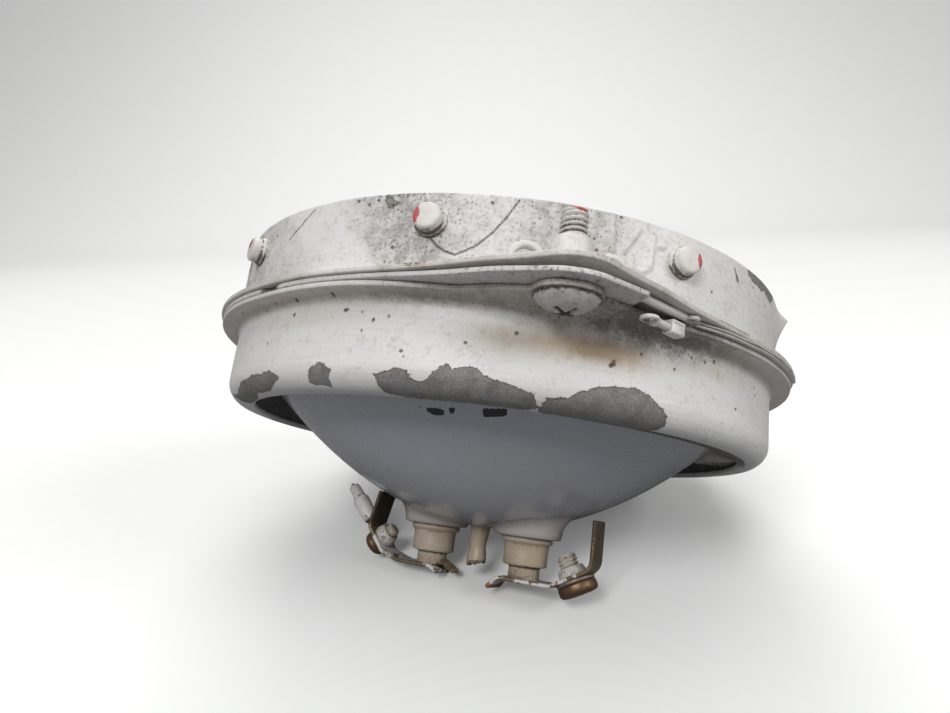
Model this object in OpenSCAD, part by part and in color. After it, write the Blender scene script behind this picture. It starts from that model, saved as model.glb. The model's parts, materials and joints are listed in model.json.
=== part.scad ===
// Landing light: a sealed-beam lamp held between a riveted mounting ring and a rear lamp ring.
// Lengths are millimetres. Each piece is drawn upright, with the optical axis along +Z, the lens
// on top and the joint between the two rings' flanges at Z = 0. The first ear points along -Y.
// The whole lamp is then leaned back onto its terminals and its rear lip, as it lies on a table.

/* [Rings] */
// Radius of the lamp's glass rim
glass_r = 56.9; // [54:0.1:60]
// Gap between the glass rim and the wall of the lamp ring
glass_gap = 1.2; // [0.8:0.1:2]
// Thickness of the pressed sheet
sheet = 0.9; // [0.6:0.1:1.2]
// How far the mounting band stands outside the lamp ring's wall
band_step = 0.8; // [0.4:0.1:1.4]
// Height of the front rim above the flange joint
band_h = 16.3; // [15:0.1:20]
// Width of the lamp ring's flange outside its wall
flange_w = 3.7; // [3:0.1:5]
// How far the mounting flange reaches past the lamp ring's flange
flange_lap = 0.6; // [0:0.1:1]
// Depth of the lamp ring behind the flange joint
ring_depth = 16; // [13.5:0.5:20]
// Outer radius of the rounded rear lip
lip_r = 4; // [3.5:0.25:5]
// Width of the flat part of the rear lip
rear_flat = 1.8; // [1:0.1:3]
// Radius of the hollow between the ring's wall and its flange
flange_fillet = 2; // [1:0.25:3]

/* [Ears and screws] */
// Number of screwed ears
ear_count = 3; // [2:1:4]
// How far the screw circle lies outside the lamp ring's wall
ear_out = 8; // [7:0.5:10]
// Radius of an ear's rounded tip
ear_tip_r = 7.4; // [6.5:0.1:8.5]
// Radius of the lamp ring's narrower ear tip
lamp_ear_tip_r = 6.2; // [5.6:0.1:6.5]
// Radius of the screw's thread crest
screw_r = 2.08; // [1.8:0.02:2.3]
// Pitch of the thread
pitch = 0.794; // [0.7:0.001:1]
// Radius of the screw's truss head
head_r = 4.9; // [4.5:0.1:5.4]
// Height of the truss head
head_h = 2.3; // [1.8:0.1:3]
// Length of the screw above the flange joint
screw_up = 11.4; // [10.4:0.1:16]
// Length of the screw's end where old paint fills the thread
filled_end = 1.6; // [1.2:0.1:3]
// Height of the anchor nut's barrel above its plate
nut_h = 5.1; // [3:0.1:5.4]

/* [Rivets] */
// Number of rivets round the band
rivet_count = 9; // [6:1:12]
// Height of the rivets above the flange joint
rivet_z = 11.1; // [10.5:0.1:11.5]
// Radius of a rivet's shank
rivet_r = 1.6; // [1.2:0.1:2]
// Radius of the rivet's base collar
collar_r = 2.75; // [2.6:0.05:3.5]
// Radius of the rivet's button face
button_r = 2.35; // [2:0.05:2.5]
// How far the button stands out of the band
button_out = 2.5; // [2:0.1:3.5]
// Which rivet is lost, at the place where the band's sheet is pulled out
lost_rivet = 1; // [0:1:8]

/* [Lamp] */
// Distance from the bowl's vertex back to the flange joint
bowl_depth = 34.7; // [32:0.1:38]
// Height of the bowl's shoulder, below the flange joint
shoulder_drop = 4.8; // [4:0.1:6]
// Thickness of the bowl's glass along the axis
glass_t = 2.6; // [2:0.1:3.2]
// Top of the glass rim above the flange joint
rim_top = 4.6; // [4:0.1:5]
// Rise of the lens above the top of the rim
lens_rise = 9.9; // [6:0.1:10.6]
// Thickness of the lens
lens_t = 3; // [2.4:0.1:3.6]
// Length of the filament
filament_len = 9; // [7:0.5:11]
// Radius of the filament's coil
filament_r = 0.9; // [0.6:0.1:1.2]
// Radius of the lead posts
lead_r = 0.8; // [0.6:0.1:1]
// Turn of the two terminals about the optical axis, in degrees
terminal_turn = -32.5; // [-60:0.5:0]
// Distance of each terminal from the optical axis
terminal_x = 11.5; // [11:0.1:13]
// Length of the broken exhaust tip below the bowl
tip_len = 8.6; // [6:0.1:9]
// Radius of the exhaust tip
tip_r = 2; // [1.6:0.1:2.4]

/* [Terminals] */
// Height of the glass boss at the bowl's vertex
boss_h = 0.9; // [0.6:0.1:1.5]
// Length of the ferrule's body
ferrule_h = 6; // [5:0.1:6.5]
// Radius of the ferrule's body
ferrule_r = 4.85; // [4.4:0.05:5]
// Length of the ferrule's neck
neck_h = 2.7; // [2.2:0.1:3]
// Radius of the ferrule's neck
neck_r = 3.4; // [3:0.1:3.8]
// Width of the terminal strips
strip_w = 7; // [6:0.1:8]
// Thickness of the terminal strips
strip_t = 0.8; // [0.6:0.05:0.9]
// Radius of the right terminal screw's head
wire_head_r = 4.15; // [3.8:0.05:4.4]
// Height of the right terminal screw's head
wire_head_h = 2.2; // [1.8:0.1:2.6]
// Radius of the left terminal screw's head
small_head_r = 2.9; // [2.7:0.1:3.2]
// Radius of the left terminal screw's thread
small_screw_r = 1.7; // [1.4:0.05:1.75]

/* [Resting pose] */
// Turn of the first ear about the optical axis, in degrees
ear_turn = 4.5; // [0:0.5:10]

/* [Hidden] */

// Fineness of round parts
$fn = 96;
// Clearance of a shaft that turns or slides in its hole
run_gap = 0.05;
// Gap between sheets and pieces that lie on each other
seam = 0.1;
// Gap between the bowl and the rubber that carries it
soft_gap = 0.3;
// Fine gap at seats and seals, so that two solids never share a face
seal = 0.02;

// Radii that follow from the glass
ring_in = glass_r + glass_gap;
ring_r = ring_in + sheet;
band_r = ring_r + band_step;
flange_r = ring_r + flange_w;
ear_r = ring_r + ear_out;
hole_r = ring_r - lip_r - rear_flat;

// Levels of the stacked flanges
clamp_t = 0.8;
clamp_z = seam;
mount_z = clamp_z + clamp_t + seam;
mount_top = mount_z + sheet;

// The bowl's outside is a paraboloid through its vertex and its shoulder
shoulder_r = glass_r - 0.9;
bowl_curve = shoulder_r * shoulder_r / (bowl_depth - shoulder_drop);

// Places of the terminal pieces below the bowl
boss_z = -bowl_depth - boss_h;
neck_z = boss_z - ferrule_h;
strip_z = neck_z - neck_h;

function bowl_z(r) = r * r / bowl_curve - bowl_depth;
function bowl_x(z) = sqrt(bowl_curve * (z + bowl_depth));
function arc(cx, cy, r, from, to, n) =
    [for (i = [0 : n]) let (a = from + (to - from) * i / n) [cx + r * cos(a), cy + r * sin(a)]];
function unit(v) = v / norm(v);
function turned(v) = [-v[1], v[0]];

// Offset of one corner of a strip's side outline, mitred between its two runs
function corner(path, i, d) =
    let (a = i > 0 ? unit(path[i] - path[i - 1]) : unit(path[1] - path[0]),
         b = i < len(path) - 1 ? unit(path[i + 1] - path[i]) : a,
         m = unit(turned(a) + turned(b)))
    path[i] + m * d / (m * turned(a));
function strip_outline(path, t) =
    concat([for (i = [0 : len(path) - 1]) corner(path, i, t / 2)],
           [for (i = [len(path) - 1 : -1 : 0]) corner(path, i, -t / 2)]);

module at_ears() {
    for (i = [0 : ear_count - 1]) rotate([0, 0, i * 360 / ear_count]) translate([0, -ear_r, 0]) children();
}

// Round flange with tangent ears, and the lamp ring's flange with narrower ears
module flange_outline(r, tip) {
    reach = acos((r - tip) / ear_r);
    circle(r, $fn = 180);
    at_ears() circle(tip);
    for (i = [0 : ear_count - 1]) rotate(i * 360 / ear_count)
        polygon([[r * sin(reach), -r * cos(reach)], [tip * sin(reach), -ear_r - tip * cos(reach)],
                 [-tip * sin(reach), -ear_r - tip * cos(reach)], [-r * sin(reach), -r * cos(reach)]]);
}
module narrow_outline(r, tip) {
    foot = 14;
    circle(r, $fn = 180);
    at_ears() circle(tip);
    for (i = [0 : ear_count - 1]) rotate(i * 360 / ear_count)
        polygon([[r * sin(foot), -r * cos(foot)], [tip, -ear_r], [-tip, -ear_r],
                 [-r * sin(foot), -r * cos(foot)]]);
}

// Side paths of the two bent strips, from the free tip to the leg under the bowl, measured from
// the ferrule's own axis
right_path = [[-7.0, strip_z - 2.6], [-5.0, strip_z - strip_t / 2], [7.0, strip_z - strip_t / 2],
              [15.6, strip_z + 4.2], [15.6, strip_z + 14]];
left_path = [[-3.2, strip_z - 1.4], [-1.2, strip_z - strip_t / 2], [7.2, strip_z - strip_t / 2],
             [12, strip_z + 1], [16.6, strip_z + 6.4], [14.7, strip_z + 14.6]];
right_mid = (right_path[2] + right_path[3]) / 2;
right_lean = atan2(right_path[3][1] - right_path[2][1], right_path[3][0] - right_path[2][0]);
left_mid = (left_path[3] + left_path[4]) / 2;
left_lean = atan2(left_path[4][1] - left_path[3][1], left_path[4][0] - left_path[3][0]);

// Resting pose: the free ends of both strips and the rounded rear lip touch the table, so the table's
// normal is square to the line between the two ends and just reaches the lip
function about_axis(p, angle) =
    [p[0] * cos(angle) - p[1] * sin(angle), p[0] * sin(angle) + p[1] * cos(angle), p[2]];
function strip_end(path, turn, w) =
    let (low = corner(path, 0, -strip_t / 2)) about_axis([terminal_x + low[0], w, low[1]], turn);
left_end = strip_end(left_path, terminal_turn + 180, -strip_w / 2);
right_end = strip_end(right_path, terminal_turn, strip_w / 2);
ends_line = unit(right_end - left_end);
ends_up = unit([0, 0, 1] - ends_line[2] * ends_line);
function table_normal(lean) = cos(lean) * ends_up - sin(lean) * cross(ends_up, ends_line);
function lip_height(n) =
    (lip_r - ring_depth) * n[2] - (ring_r - lip_r) * norm([n[0], n[1]]) - lip_r;
function resting_lean(low, high, steps) =
    let (mid = (low + high) / 2, n = table_normal(mid))
    steps == 0 ? mid
    : n * left_end < lip_height(n) ? resting_lean(mid, high, steps - 1) : resting_lean(low, mid, steps - 1);
rest_up = table_normal(resting_lean(5, 60, 40));
rest_lift = -rest_up * left_end;
// Shift that centres the leaning lamp on the origin
rest_x = 3.42;
rest_y = 2.141;
module lamp_at_rest() {
    n = about_axis(rest_up, ear_turn);
    translate([rest_x, rest_y, rest_lift]) rotate([atan2(n[1], n[2]), atan2(-n[0], norm([n[1], n[2]])), 0])
        rotate([0, 0, ear_turn]) children();
}

// Screw with a threaded shank along +Z, drawn as closed thread crests
module thread(r, length) {
    root = r - 0.45 * pitch;
    turns = floor(length / pitch);
    rotate_extrude() polygon(concat([[0, 0], [root, 0]],
        [for (i = [0 : turns - 1])
            each [[r, (i + 0.5) * pitch], [root, (i + 1) * pitch]]],
        [[root - 0.3, length], [0, length]]));
}

module mounting_ring() {
    bend = 1;
    hole = screw_r + 0.25;
    color("whitesmoke") difference() {
        union() {
            rotate_extrude($fn = 180) polygon(concat(
                [[band_r - sheet, mount_z], [band_r + bend, mount_z], [band_r + bend, mount_top]],
                arc(band_r + bend, mount_top + bend, bend, 270, 180, 6),
                [[band_r, band_h], [band_r - sheet, band_h]]));
            translate([0, 0, mount_z]) linear_extrude(sheet) difference() {
                flange_outline(flange_r + flange_lap, ear_tip_r + flange_lap);
                circle(band_r - sheet / 2, $fn = 180);
            }
            pulled_corner();
        }
        at_ears() translate([0, 0, mount_z - 1]) cylinder(r = hole, h = sheet + 2);
        at_lugs() translate([0, 0, mount_z - 1]) cylinder(r = small_rivet_r + 0.05, h = sheet + 2);
        at_rivets() cylinder(r = rivet_r + run_gap, h = 12);
    }
}
// Corner of the band's sheet that is pulled outwards where a rivet is lost
module pulled_corner() {
    reach = 2.5;
    low = rivet_z - 3.8;
    high = band_h - 0.2;
    peak = rivet_z + 3;
    face = -sheet / 2;
    turn = (lost_rivet + 0.5) * 360 / rivet_count;
    rotate([0, 0, turn]) translate([0, -band_r + sheet / 2, 0]) rotate([90, 0, 90])
        translate([0, 0, -sheet / 2]) linear_extrude(sheet)
            polygon([[0, low], [face, low], [face - 0.5, low + 3], [face - reach, peak],
                     [face - 0.6, peak + 1.2], [face, high], [0, high]]);
}

module at_rivets() {
    for (i = [0 : rivet_count - 1]) if (i != lost_rivet) rotate([0, 0, (i + 0.5) * 360 / rivet_count])
        translate([0, -band_r, rivet_z]) rotate([90, 0, 0]) translate([0, 0, -4]) children();
}

// Angle ring inside the band, which the lens rim bears on
seat_t = 0.9;
seat_z = rim_top + 0.6;
seat_in = glass_r - 2.6;
module seat_ring() {
    outer = band_r - sheet - seam;
    leg_top = rivet_z + 3;
    color("gray") difference() {
        rotate_extrude($fn = 180) polygon([[seat_in, seat_z], [outer, seat_z], [outer, leg_top],
            [outer - seat_t, leg_top], [outer - seat_t, seat_z + seat_t], [seat_in, seat_z + seat_t]]);
        at_rivets() cylinder(r = rivet_r + run_gap, h = 12);
    }
}

module band_rivets() {
    grip = 2 * sheet + seam + 0.1;
    shop_h = 1.1;
    round = 0.4;
    color("ivory") at_rivets() translate([0, 0, 4]) rotate_extrude() polygon(concat(
        [[0, -grip - shop_h], [rivet_r + 0.7, -grip - shop_h], [rivet_r + 0.9, -grip - 0.5 * shop_h],
         [rivet_r + 0.7, -grip], [rivet_r, -grip], [rivet_r, seal], [collar_r, seal], [collar_r, 0.7],
         [button_r + 0.1, 1.2]],
        arc(button_r - round, button_out - round, round, 0, 90, 4), [[0, button_out]]));
}

module front_gasket() {
    color("black") rotate_extrude($fn = 180)
        polygon([[seat_in, rim_top + seam / 2], [glass_r - 0.2, rim_top + seam / 2],
                 [glass_r - 0.2, seat_z - seam / 2], [seat_in, seat_z - seam / 2]]);
}

// Anchor nut on each ear, with the two arched springs of its cage and its two rivets
plate_t = 0.8;
lug = 6.2;
lug_back = 1.2;
small_rivet_r = 0.9;
module at_lugs() {
    at_ears() for (x = [-lug, lug]) translate([x, lug_back, 0]) children();
}
module anchor_rivets() {
    grip = sheet + plate_t;
    color("silver") at_lugs() translate([0, 0, mount_z]) {
        cylinder(r = small_rivet_r, h = grip + 0.3);
        translate([0, 0, grip + 0.04]) cylinder(r1 = small_rivet_r + 0.6, r2 = small_rivet_r, h = 0.6);
    }
}
module anchor_nuts() {
    bore = screw_r + run_gap;
    color("silver") at_ears() translate([0, 0, mount_top + seal]) {
        difference() {
            union() {
                linear_extrude(plate_t) {
                    circle(3.6);
                    for (x = [-lug, lug]) translate([x, lug_back]) circle(2.6);
                    translate([-lug, -1.2]) square([2 * lug, 3.4]);
                }
                cylinder(r1 = 3.3, r2 = 2.75, h = nut_h);
                for (x = [-lug, lug]) translate([x, lug_back, 0]) cage_arch();
            }
            translate([0, 0, -1]) cylinder(r = bore, h = nut_h + 2);
            for (x = [-lug, lug]) translate([x, lug_back, -1]) cylinder(r = small_rivet_r + 0.05, h = 2.5);
        }
    }
}
module cage_arch() {
    outer = 2.8;
    inner = 1.9;
    rise = 4.2;
    depth = 1.6;
    foot = plate_t / 2;
    spring = rise - outer;
    translate([0, depth / 2, 0]) rotate([90, 0, 0]) linear_extrude(depth) difference() {
        union() {
            translate([0, spring]) circle(outer);
            translate([-outer, foot]) square([2 * outer, spring - foot]);
        }
        translate([0, spring]) circle(inner);
        translate([-inner, 0]) square([2 * inner, spring]);
        translate([-outer, foot - outer]) square([2 * outer, outer]);
    }
}

// Truss-head screws, heads behind the lamp ring's ears
module ring_screws() {
    bottom = -sheet - seal;
    cap = (head_r * head_r + head_h * head_h) / (2 * head_h);
    recess = 1.3;
    plain = 3.6;
    shank_r = screw_r - 0.25;
    color("silver") at_ears() {
        translate([0, 0, bottom]) difference() {
            intersection() {
                translate([0, 0, cap - head_h]) sphere(r = cap, $fn = 128);
                translate([0, 0, -head_h]) cylinder(r = head_r, h = head_h);
            }
            rotate([0, 0, 35]) for (a = [0, 90]) rotate([0, 0, a])
                translate([-2.2, -0.45, -head_h - 1]) cube([4.4, 0.9, 1 + recess]);
        }
        translate([0, 0, bottom - 0.1]) cylinder(r = shank_r, h = plain - bottom + 0.2);
        translate([0, 0, plain]) thread(screw_r, screw_up - filled_end - plain);
        translate([0, 0, screw_up - filled_end]) cylinder(r = screw_r, h = filled_end);
    }
}

// Thin split ring between the two flanges, with one end drawn out into a round rod and eye
rod_r = 0.65;
split_from = 9.5;
split_to = 19.5;
strap_to = 57;
strap_in = flange_r + 0.2;
module clamp_ring() {
    hole = screw_r + 0.25;
    rod_z = clamp_z + clamp_t / 2;
    rod_from = [flange_r * sin(split_from) + 1.2, -flange_r * cos(split_from) - 4.2];
    rod_to = [(flange_r + 1) * sin(split_to - 0.8), -(flange_r + 1) * cos(split_to - 0.8)];
    rod_len = norm(rod_to - rod_from);
    rod_dir = atan2(rod_to[1] - rod_from[1], rod_to[0] - rod_from[0]);
    color("lightgray") difference() {
        union() {
            translate([0, 0, clamp_z]) linear_extrude(clamp_t) difference() {
                flange_outline(flange_r + 0.1, ear_tip_r);
                circle(glass_r + 0.4, $fn = 180);
                sector(split_from, split_to);
                difference() {
                    sector(split_to, strap_to + 1);
                    circle(strap_in - 0.05, $fn = 180);
                }
            }
            translate([rod_from[0], rod_from[1], rod_z]) rotate([0, 0, rod_dir]) rotate([0, 90, 0]) {
                translate([0, 0, -2.5]) cylinder(r = rod_r * 0.6, h = rod_len + 1.6, $fn = 32);
            }
        }
        at_ears() translate([0, 0, clamp_z - 1]) cylinder(r = hole, h = clamp_t + 2);
    }
}
module sector(from, to) {
    far = flange_r + 12;
    polygon([[0, 0], [far * sin(from), -far * cos(from)], [far * sin(to), -far * cos(to)]]);
}

// Folded strap hooked over the edge of the clamp ring, from the split to the right-hand side
module edge_strap() {
    strap_from = split_to + 1;
    strap_t = 0.35;
    outer = strap_in + 0.75;
    color("white") rotate([0, 0, strap_from - 90]) rotate_extrude(angle = strap_to - strap_from, $fn = 180)
        polygon([[strap_in, clamp_z - 0.1], [outer, clamp_z - 0.1], [outer, clamp_z + clamp_t - 0.05],
                 [strap_in, clamp_z + clamp_t - 0.05], [strap_in, clamp_z + clamp_t - 0.05 - strap_t],
                 [outer - 0.25, clamp_z + clamp_t - 0.05 - strap_t], [outer - 0.25, clamp_z - 0.1 + strap_t],
                 [strap_in, clamp_z - 0.1 + strap_t]]);
}

module lamp_ring() {
    lip_c = ring_r - lip_r;
    lip_z = -ring_depth + lip_r;
    hole = screw_r + 0.25;
    color("white") difference() {
        union() {
            rotate_extrude($fn = 180) polygon(concat(
                [[ring_in, 0], [ring_in, lip_z]],
                arc(lip_c, lip_z, lip_r - sheet, 0, -90, 8),
                [[hole_r, -ring_depth + sheet], [hole_r, -ring_depth]],
                arc(lip_c, lip_z, lip_r, -90, 0, 10),
                arc(ring_r + flange_fillet, -sheet - flange_fillet, flange_fillet, 180, 90, 6),
                [[ring_r + flange_fillet + 0.2, 0]]));
            translate([0, 0, -sheet]) linear_extrude(sheet) difference() {
                narrow_outline(flange_r, lamp_ear_tip_r);
                circle(ring_in + sheet / 2, $fn = 180);
            }
        }
        at_ears() translate([0, 0, -sheet - 1]) cylinder(r = hole, h = sheet + 2);
    }
}

// Rubber cushion in the lamp ring, which carries the shoulder of the bowl
lug_turn = 75.5;
lug_w = 12;
module cushion() {
    low = -ring_depth + sheet + seam;
    inner = hole_r + 1.2;
    outer = ring_in - seam;
    rest_z = bowl_z(inner - soft_gap);
    top = rest_z + 2;
    top_in = bowl_x(top) + soft_gap + 0.25;
    cut = lip_r - sheet;
    color("dimgray") difference() {
        rotate_extrude($fn = 180) polygon([[inner, low], [ring_r - lip_r, low],
            [outer - 0.28 * cut, low + 0.28 * cut], [outer, low + cut], [outer, top], [top_in, top],
            [inner + 0.15, rest_z - 0.1]]);
        rotate([0, 0, lug_turn]) translate([-lug_w / 2 - 0.5, -ring_in, low - 1])
            cube([lug_w + 1, 8, lug_top - low + 1.5]);
    }
}

// Sealed lamp: lens, bowl, reflector, filament and its posts
lens_r = glass_r - 2.7;
rim_in = glass_r - 3.3;
weld_z = 0.5;
module lens() {
    big = (lens_r * lens_r + lens_rise * lens_rise) / (2 * lens_rise);
    edge = asin(lens_r / big);
    top = rim_top + lens_rise;
    small = big - lens_t;
    inner_edge = asin(rim_in / small);
    color("lightblue", 0.5) rotate_extrude($fn = 180) polygon(concat(
        arc(0, top - big, big, 90, 90 - edge, 14),
        [[glass_r - 0.5, rim_top], [glass_r, rim_top - 0.5]],
        [[glass_r, weld_z + seal], [rim_in, weld_z + seal]],
        arc(0, top - big, small, 90 - inner_edge, 90, 14)));
}
lug_top = -11.3;
bowl_steps = 22;
module glass_bowl() {
    lug_low = -14.5;
    lug_out = hole_r + 2.1;
    lug_in = 42;
    color("lightsteelblue") difference() {
        union() {
            rotate_extrude($fn = 180) polygon(concat(
                [for (i = [0 : bowl_steps]) let (r = shoulder_r * i / bowl_steps) [r, bowl_z(r)]],
                [[glass_r, bowl_z(shoulder_r) + 1], [glass_r, weld_z], [rim_in, weld_z]],
                [for (i = [bowl_steps : -1 : 0])
                    let (r = rim_in * i / bowl_steps) [r, bowl_z(r) + glass_t]]));
            rotate([0, 0, terminal_turn]) for (x = [-terminal_x, terminal_x])
                translate([x, 0, boss_z]) cylinder(r1 = 7.4, r2 = 8.6, h = bowl_z(terminal_x) - boss_z + 1.2);
            difference() {
                rotate([0, 0, lug_turn]) intersection() {
                    translate([-lug_w / 2, -lug_out, lug_low]) cube([lug_w, lug_out - lug_in, lug_top - lug_low]);
                    cylinder(r = lug_out, h = 60, center = true, $fn = 180);
                }
                rotate_extrude($fn = 180) polygon(concat(
                    [for (i = [0 : bowl_steps])
                        let (r = shoulder_r * i / bowl_steps) [r, bowl_z(r) + glass_t / 2]],
                    [[0, bowl_z(shoulder_r) + glass_t / 2]]));
            }
        }
        rotate([0, 0, terminal_turn]) for (x = [-terminal_x, terminal_x])
            translate([x, 0, boss_z - 1]) cylinder(r = lead_r + run_gap, h = 12);
    }
}
module reflector() {
    coat = 0.3;
    lift = glass_t + run_gap;
    edge = bowl_steps - 1;
    color("silver") difference() {
        rotate_extrude($fn = 180) polygon(concat(
            [for (i = [0 : edge]) let (r = rim_in * i / bowl_steps) [r, bowl_z(r) + lift]],
            [for (i = [edge : -1 : 0]) let (r = rim_in * i / bowl_steps) [r, bowl_z(r) + lift + coat]]));
        rotate([0, 0, terminal_turn]) for (x = [-terminal_x, terminal_x])
            translate([x, 0, boss_z]) cylinder(r = lead_r + 0.3, h = 12);
    }
}
focus_z = bowl_curve / 4 - bowl_depth + glass_t;
module filament() {
    color("goldenrod") rotate([0, 0, terminal_turn]) translate([-filament_len / 2, 0, focus_z])
        rotate([0, 90, 0]) cylinder(r = filament_r, h = filament_len, $fn = 32);
}
module lead_posts() {
    foot = boss_z - 3.5;
    color("silver") rotate([0, 0, terminal_turn]) for (side = [-1, 1]) {
        post_x = side * terminal_x;
        end_x = side * (filament_len / 2 + 0.05);
        translate([post_x, 0, foot]) cylinder(r = lead_r, h = focus_z - foot, $fn = 32);
        translate([post_x, 0, focus_z]) sphere(r = lead_r, $fn = 32);
        translate([min(post_x, end_x), 0, focus_z]) rotate([0, 90, 0])
            cylinder(r = lead_r, h = abs(post_x - end_x), $fn = 32);
    }
}

// Ferrules, the exhaust tip and the terminal hardware, on one turned line under the bowl
module terminal_side(side) {
    rotate([0, 0, terminal_turn + (side > 0 ? 0 : 180)]) translate([terminal_x, 0, 0]) children();
}
module ferrule() {
    flare_h = 1.4;
    flare_r = ferrule_r + 0.8;
    rotate_extrude() polygon([
        [0, strip_z + seal], [neck_r, strip_z + seal], [neck_r, neck_z - 0.3], [neck_r + 0.3, neck_z],
        [ferrule_r - 0.3, neck_z], [ferrule_r, neck_z + 0.4], [ferrule_r, boss_z - flare_h],
        [flare_r, boss_z - flare_h + 0.4], [flare_r, boss_z - seal], [lead_r + 0.06, boss_z - seal],
        [lead_r + 0.06, boss_z - 3.7], [0, boss_z - 3.7]]);
}
module left_ferrule() {
    color("antiquewhite") terminal_side(-1) ferrule();
}
module right_ferrule() {
    color("antiquewhite") terminal_side(1) ferrule();
}
module exhaust_tip() {
    slant = 14;
    color("antiquewhite") translate([0, 0, -bowl_depth - tip_len]) difference() {
        cylinder(r = tip_r, h = tip_len - seal, $fn = 48);
        rotate([0, slant, 0]) translate([-10, -10, -5]) cube([20, 20, 5.2]);
    }
}

// Frame of a terminal screw: its axis along -Z of the children, starting at the strip's middle
module on_strip(side, mid, lean) {
    terminal_side(side) translate([mid[0], 0, mid[1]]) rotate([0, -lean, 0]) children();
}
module strip(side, path, mid, lean, bore) {
    difference() {
        terminal_side(side) translate([0, strip_w / 2, 0]) rotate([90, 0, 0])
            linear_extrude(strip_w) polygon(strip_outline(path, strip_t));
        on_strip(side, mid, lean) translate([0, 0, -3]) cylinder(r = bore, h = 6);
    }
}
module left_strip() {
    color("burlywood") strip(-1, left_path, left_mid, left_lean, small_screw_r + 0.2);
}
module right_strip() {
    color("burlywood") strip(1, right_path, right_mid, right_lean, screw_r + 0.2);
}
left_nut_h = 2.4;
right_nut_h = 1.8;
module collar_nut(r, bore, h) {
    translate([0, 0, strip_t / 2 + seal]) difference() {
        cylinder(r1 = r, r2 = r - 0.4, h = h);
        translate([0, 0, -1]) cylinder(r = bore, h = h + 2);
    }
}
module left_nut() {
    color("darkkhaki") on_strip(-1, left_mid, left_lean)
        collar_nut(small_screw_r + 1, small_screw_r + run_gap, left_nut_h);
}
module right_nut() {
    color("darkkhaki") on_strip(1, right_mid, right_lean)
        collar_nut(screw_r + 1, screw_r + run_gap, right_nut_h);
}
washer_t = 0.7;
washer_gap = 0.06;
small_head_h = 2;
module washer(r, bore) {
    translate([0, 0, -strip_t / 2 - washer_gap - washer_t]) difference() {
        cylinder(r = r, h = washer_t);
        translate([0, 0, -1]) cylinder(r = bore, h = washer_t + 2);
    }
}
module left_washer() {
    color("gray") on_strip(-1, left_mid, left_lean) washer(small_head_r, small_screw_r + run_gap);
}
module right_washer() {
    color("gray") on_strip(1, right_mid, right_lean) washer(wire_head_r, screw_r + run_gap);
}
module wire_screw(r, head_r, head_h, length) {
    seat = -strip_t / 2 - 2 * washer_gap - washer_t;
    crown = 0.5;
    slot_w = 1;
    slot_deep = 0.9;
    color("peru") {
        difference() {
            translate([0, 0, seat]) rotate_extrude() polygon([[0, 0], [head_r - 0.3, 0], [head_r, -0.4],
                [head_r, -head_h + crown], [head_r - crown, -head_h], [0, -head_h]]);
            translate([-head_r - 1, -slot_w / 2, seat - head_h - 1])
                cube([2 * head_r + 2, slot_w, 1 + slot_deep]);
        }
        translate([0, 0, seat - 0.1]) cylinder(r = r, h = 0.9 - seat);
        translate([0, 0, 0.8]) thread(r, length);
    }
}
module left_screw() {
    on_strip(-1, left_mid, left_lean) wire_screw(small_screw_r, small_head_r, small_head_h, left_nut_h + 0.8);
}
module right_screw() {
    on_strip(1, right_mid, right_lean) wire_screw(screw_r, wire_head_r, wire_head_h, right_nut_h + 2.2);
}

// Cut-off wire on the left strip's leg, and the frayed end of the braid under the left ferrule
module wire_stub() {
    from = [18.2, strip_z + 7.6];
    bend = [22.0, strip_z + 11.6];
    to = [25.2, strip_z + 15];
    first = bend - from;
    second = to - bend;
    color("white") terminal_side(-1) {
        translate([from[0], 0, from[1]]) sphere(r = 1.4, $fn = 32);
        translate([from[0], 0, from[1]]) rotate([0, 90 - atan2(first[1], first[0]), 0])
            cylinder(r1 = 1.4, r2 = 1.8, h = norm(first), $fn = 32);
        translate([bend[0], 0, bend[1]]) sphere(r = 1.8, $fn = 32);
        translate([bend[0], 0, bend[1]]) rotate([0, 90 - atan2(second[1], second[0]), 0])
            cylinder(r = 1.3, h = norm(second), $fn = 32);
        translate([to[0], 0, to[1]]) sphere(r = 1.5, $fn = 32);
    }
}
module braid_stub() {
    color("tan") terminal_side(-1) translate([-neck_r - 0.3, 0, neck_z - 2.3]) rotate([0, -120, 0])
        translate([-0.6, -1.6, 0]) cube([1.2, 3.2, 4]);
}

// Pull pin under the first ear's right edge, and the folded knuckle that it slides in
pin_turn = 12.93;
pin_ring_r = flange_r + 2.55;
pin_mid = [pin_ring_r * sin(pin_turn), -pin_ring_r * cos(pin_turn)];
pin_dir = 34.4;
pin_r = 0.62;
pin_z = -sheet - 1.15;
pin_from = -1.2;
pin_to = 5.4;
knuckle_len = 3.2;
module at_pin() {
    translate([pin_mid[0], pin_mid[1], pin_z]) rotate([0, 0, pin_dir]) rotate([0, 90, 0]) children();
}
module latch_pin() {
    wire = 0.4;
    loop = 1.15;
    color("white") at_pin() {
        translate([0, 0, pin_from]) cylinder(r = pin_r, h = pin_to - pin_from, $fn = 32);
        translate([0, 0, pin_from - loop + 0.1]) rotate([0, 90, 0]) rotate_extrude($fn = 48)
            translate([loop, 0]) circle(wire, $fn = 20);
    }
}
module latch_knuckle() {
    wall = 0.45;
    color("white") at_pin() translate([0, 0, pin_to - knuckle_len]) difference() {
        union() {
            cylinder(r = pin_r + run_gap + wall, h = knuckle_len, $fn = 32);
            translate([pin_z + sheet + seal, -pin_r - run_gap - wall, 0])
                cube([0.6, 2 * (pin_r + run_gap + wall), knuckle_len]);
        }
        translate([0, 0, -1]) cylinder(r = pin_r + run_gap, h = knuckle_len + 2, $fn = 32);
    }
}

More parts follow.
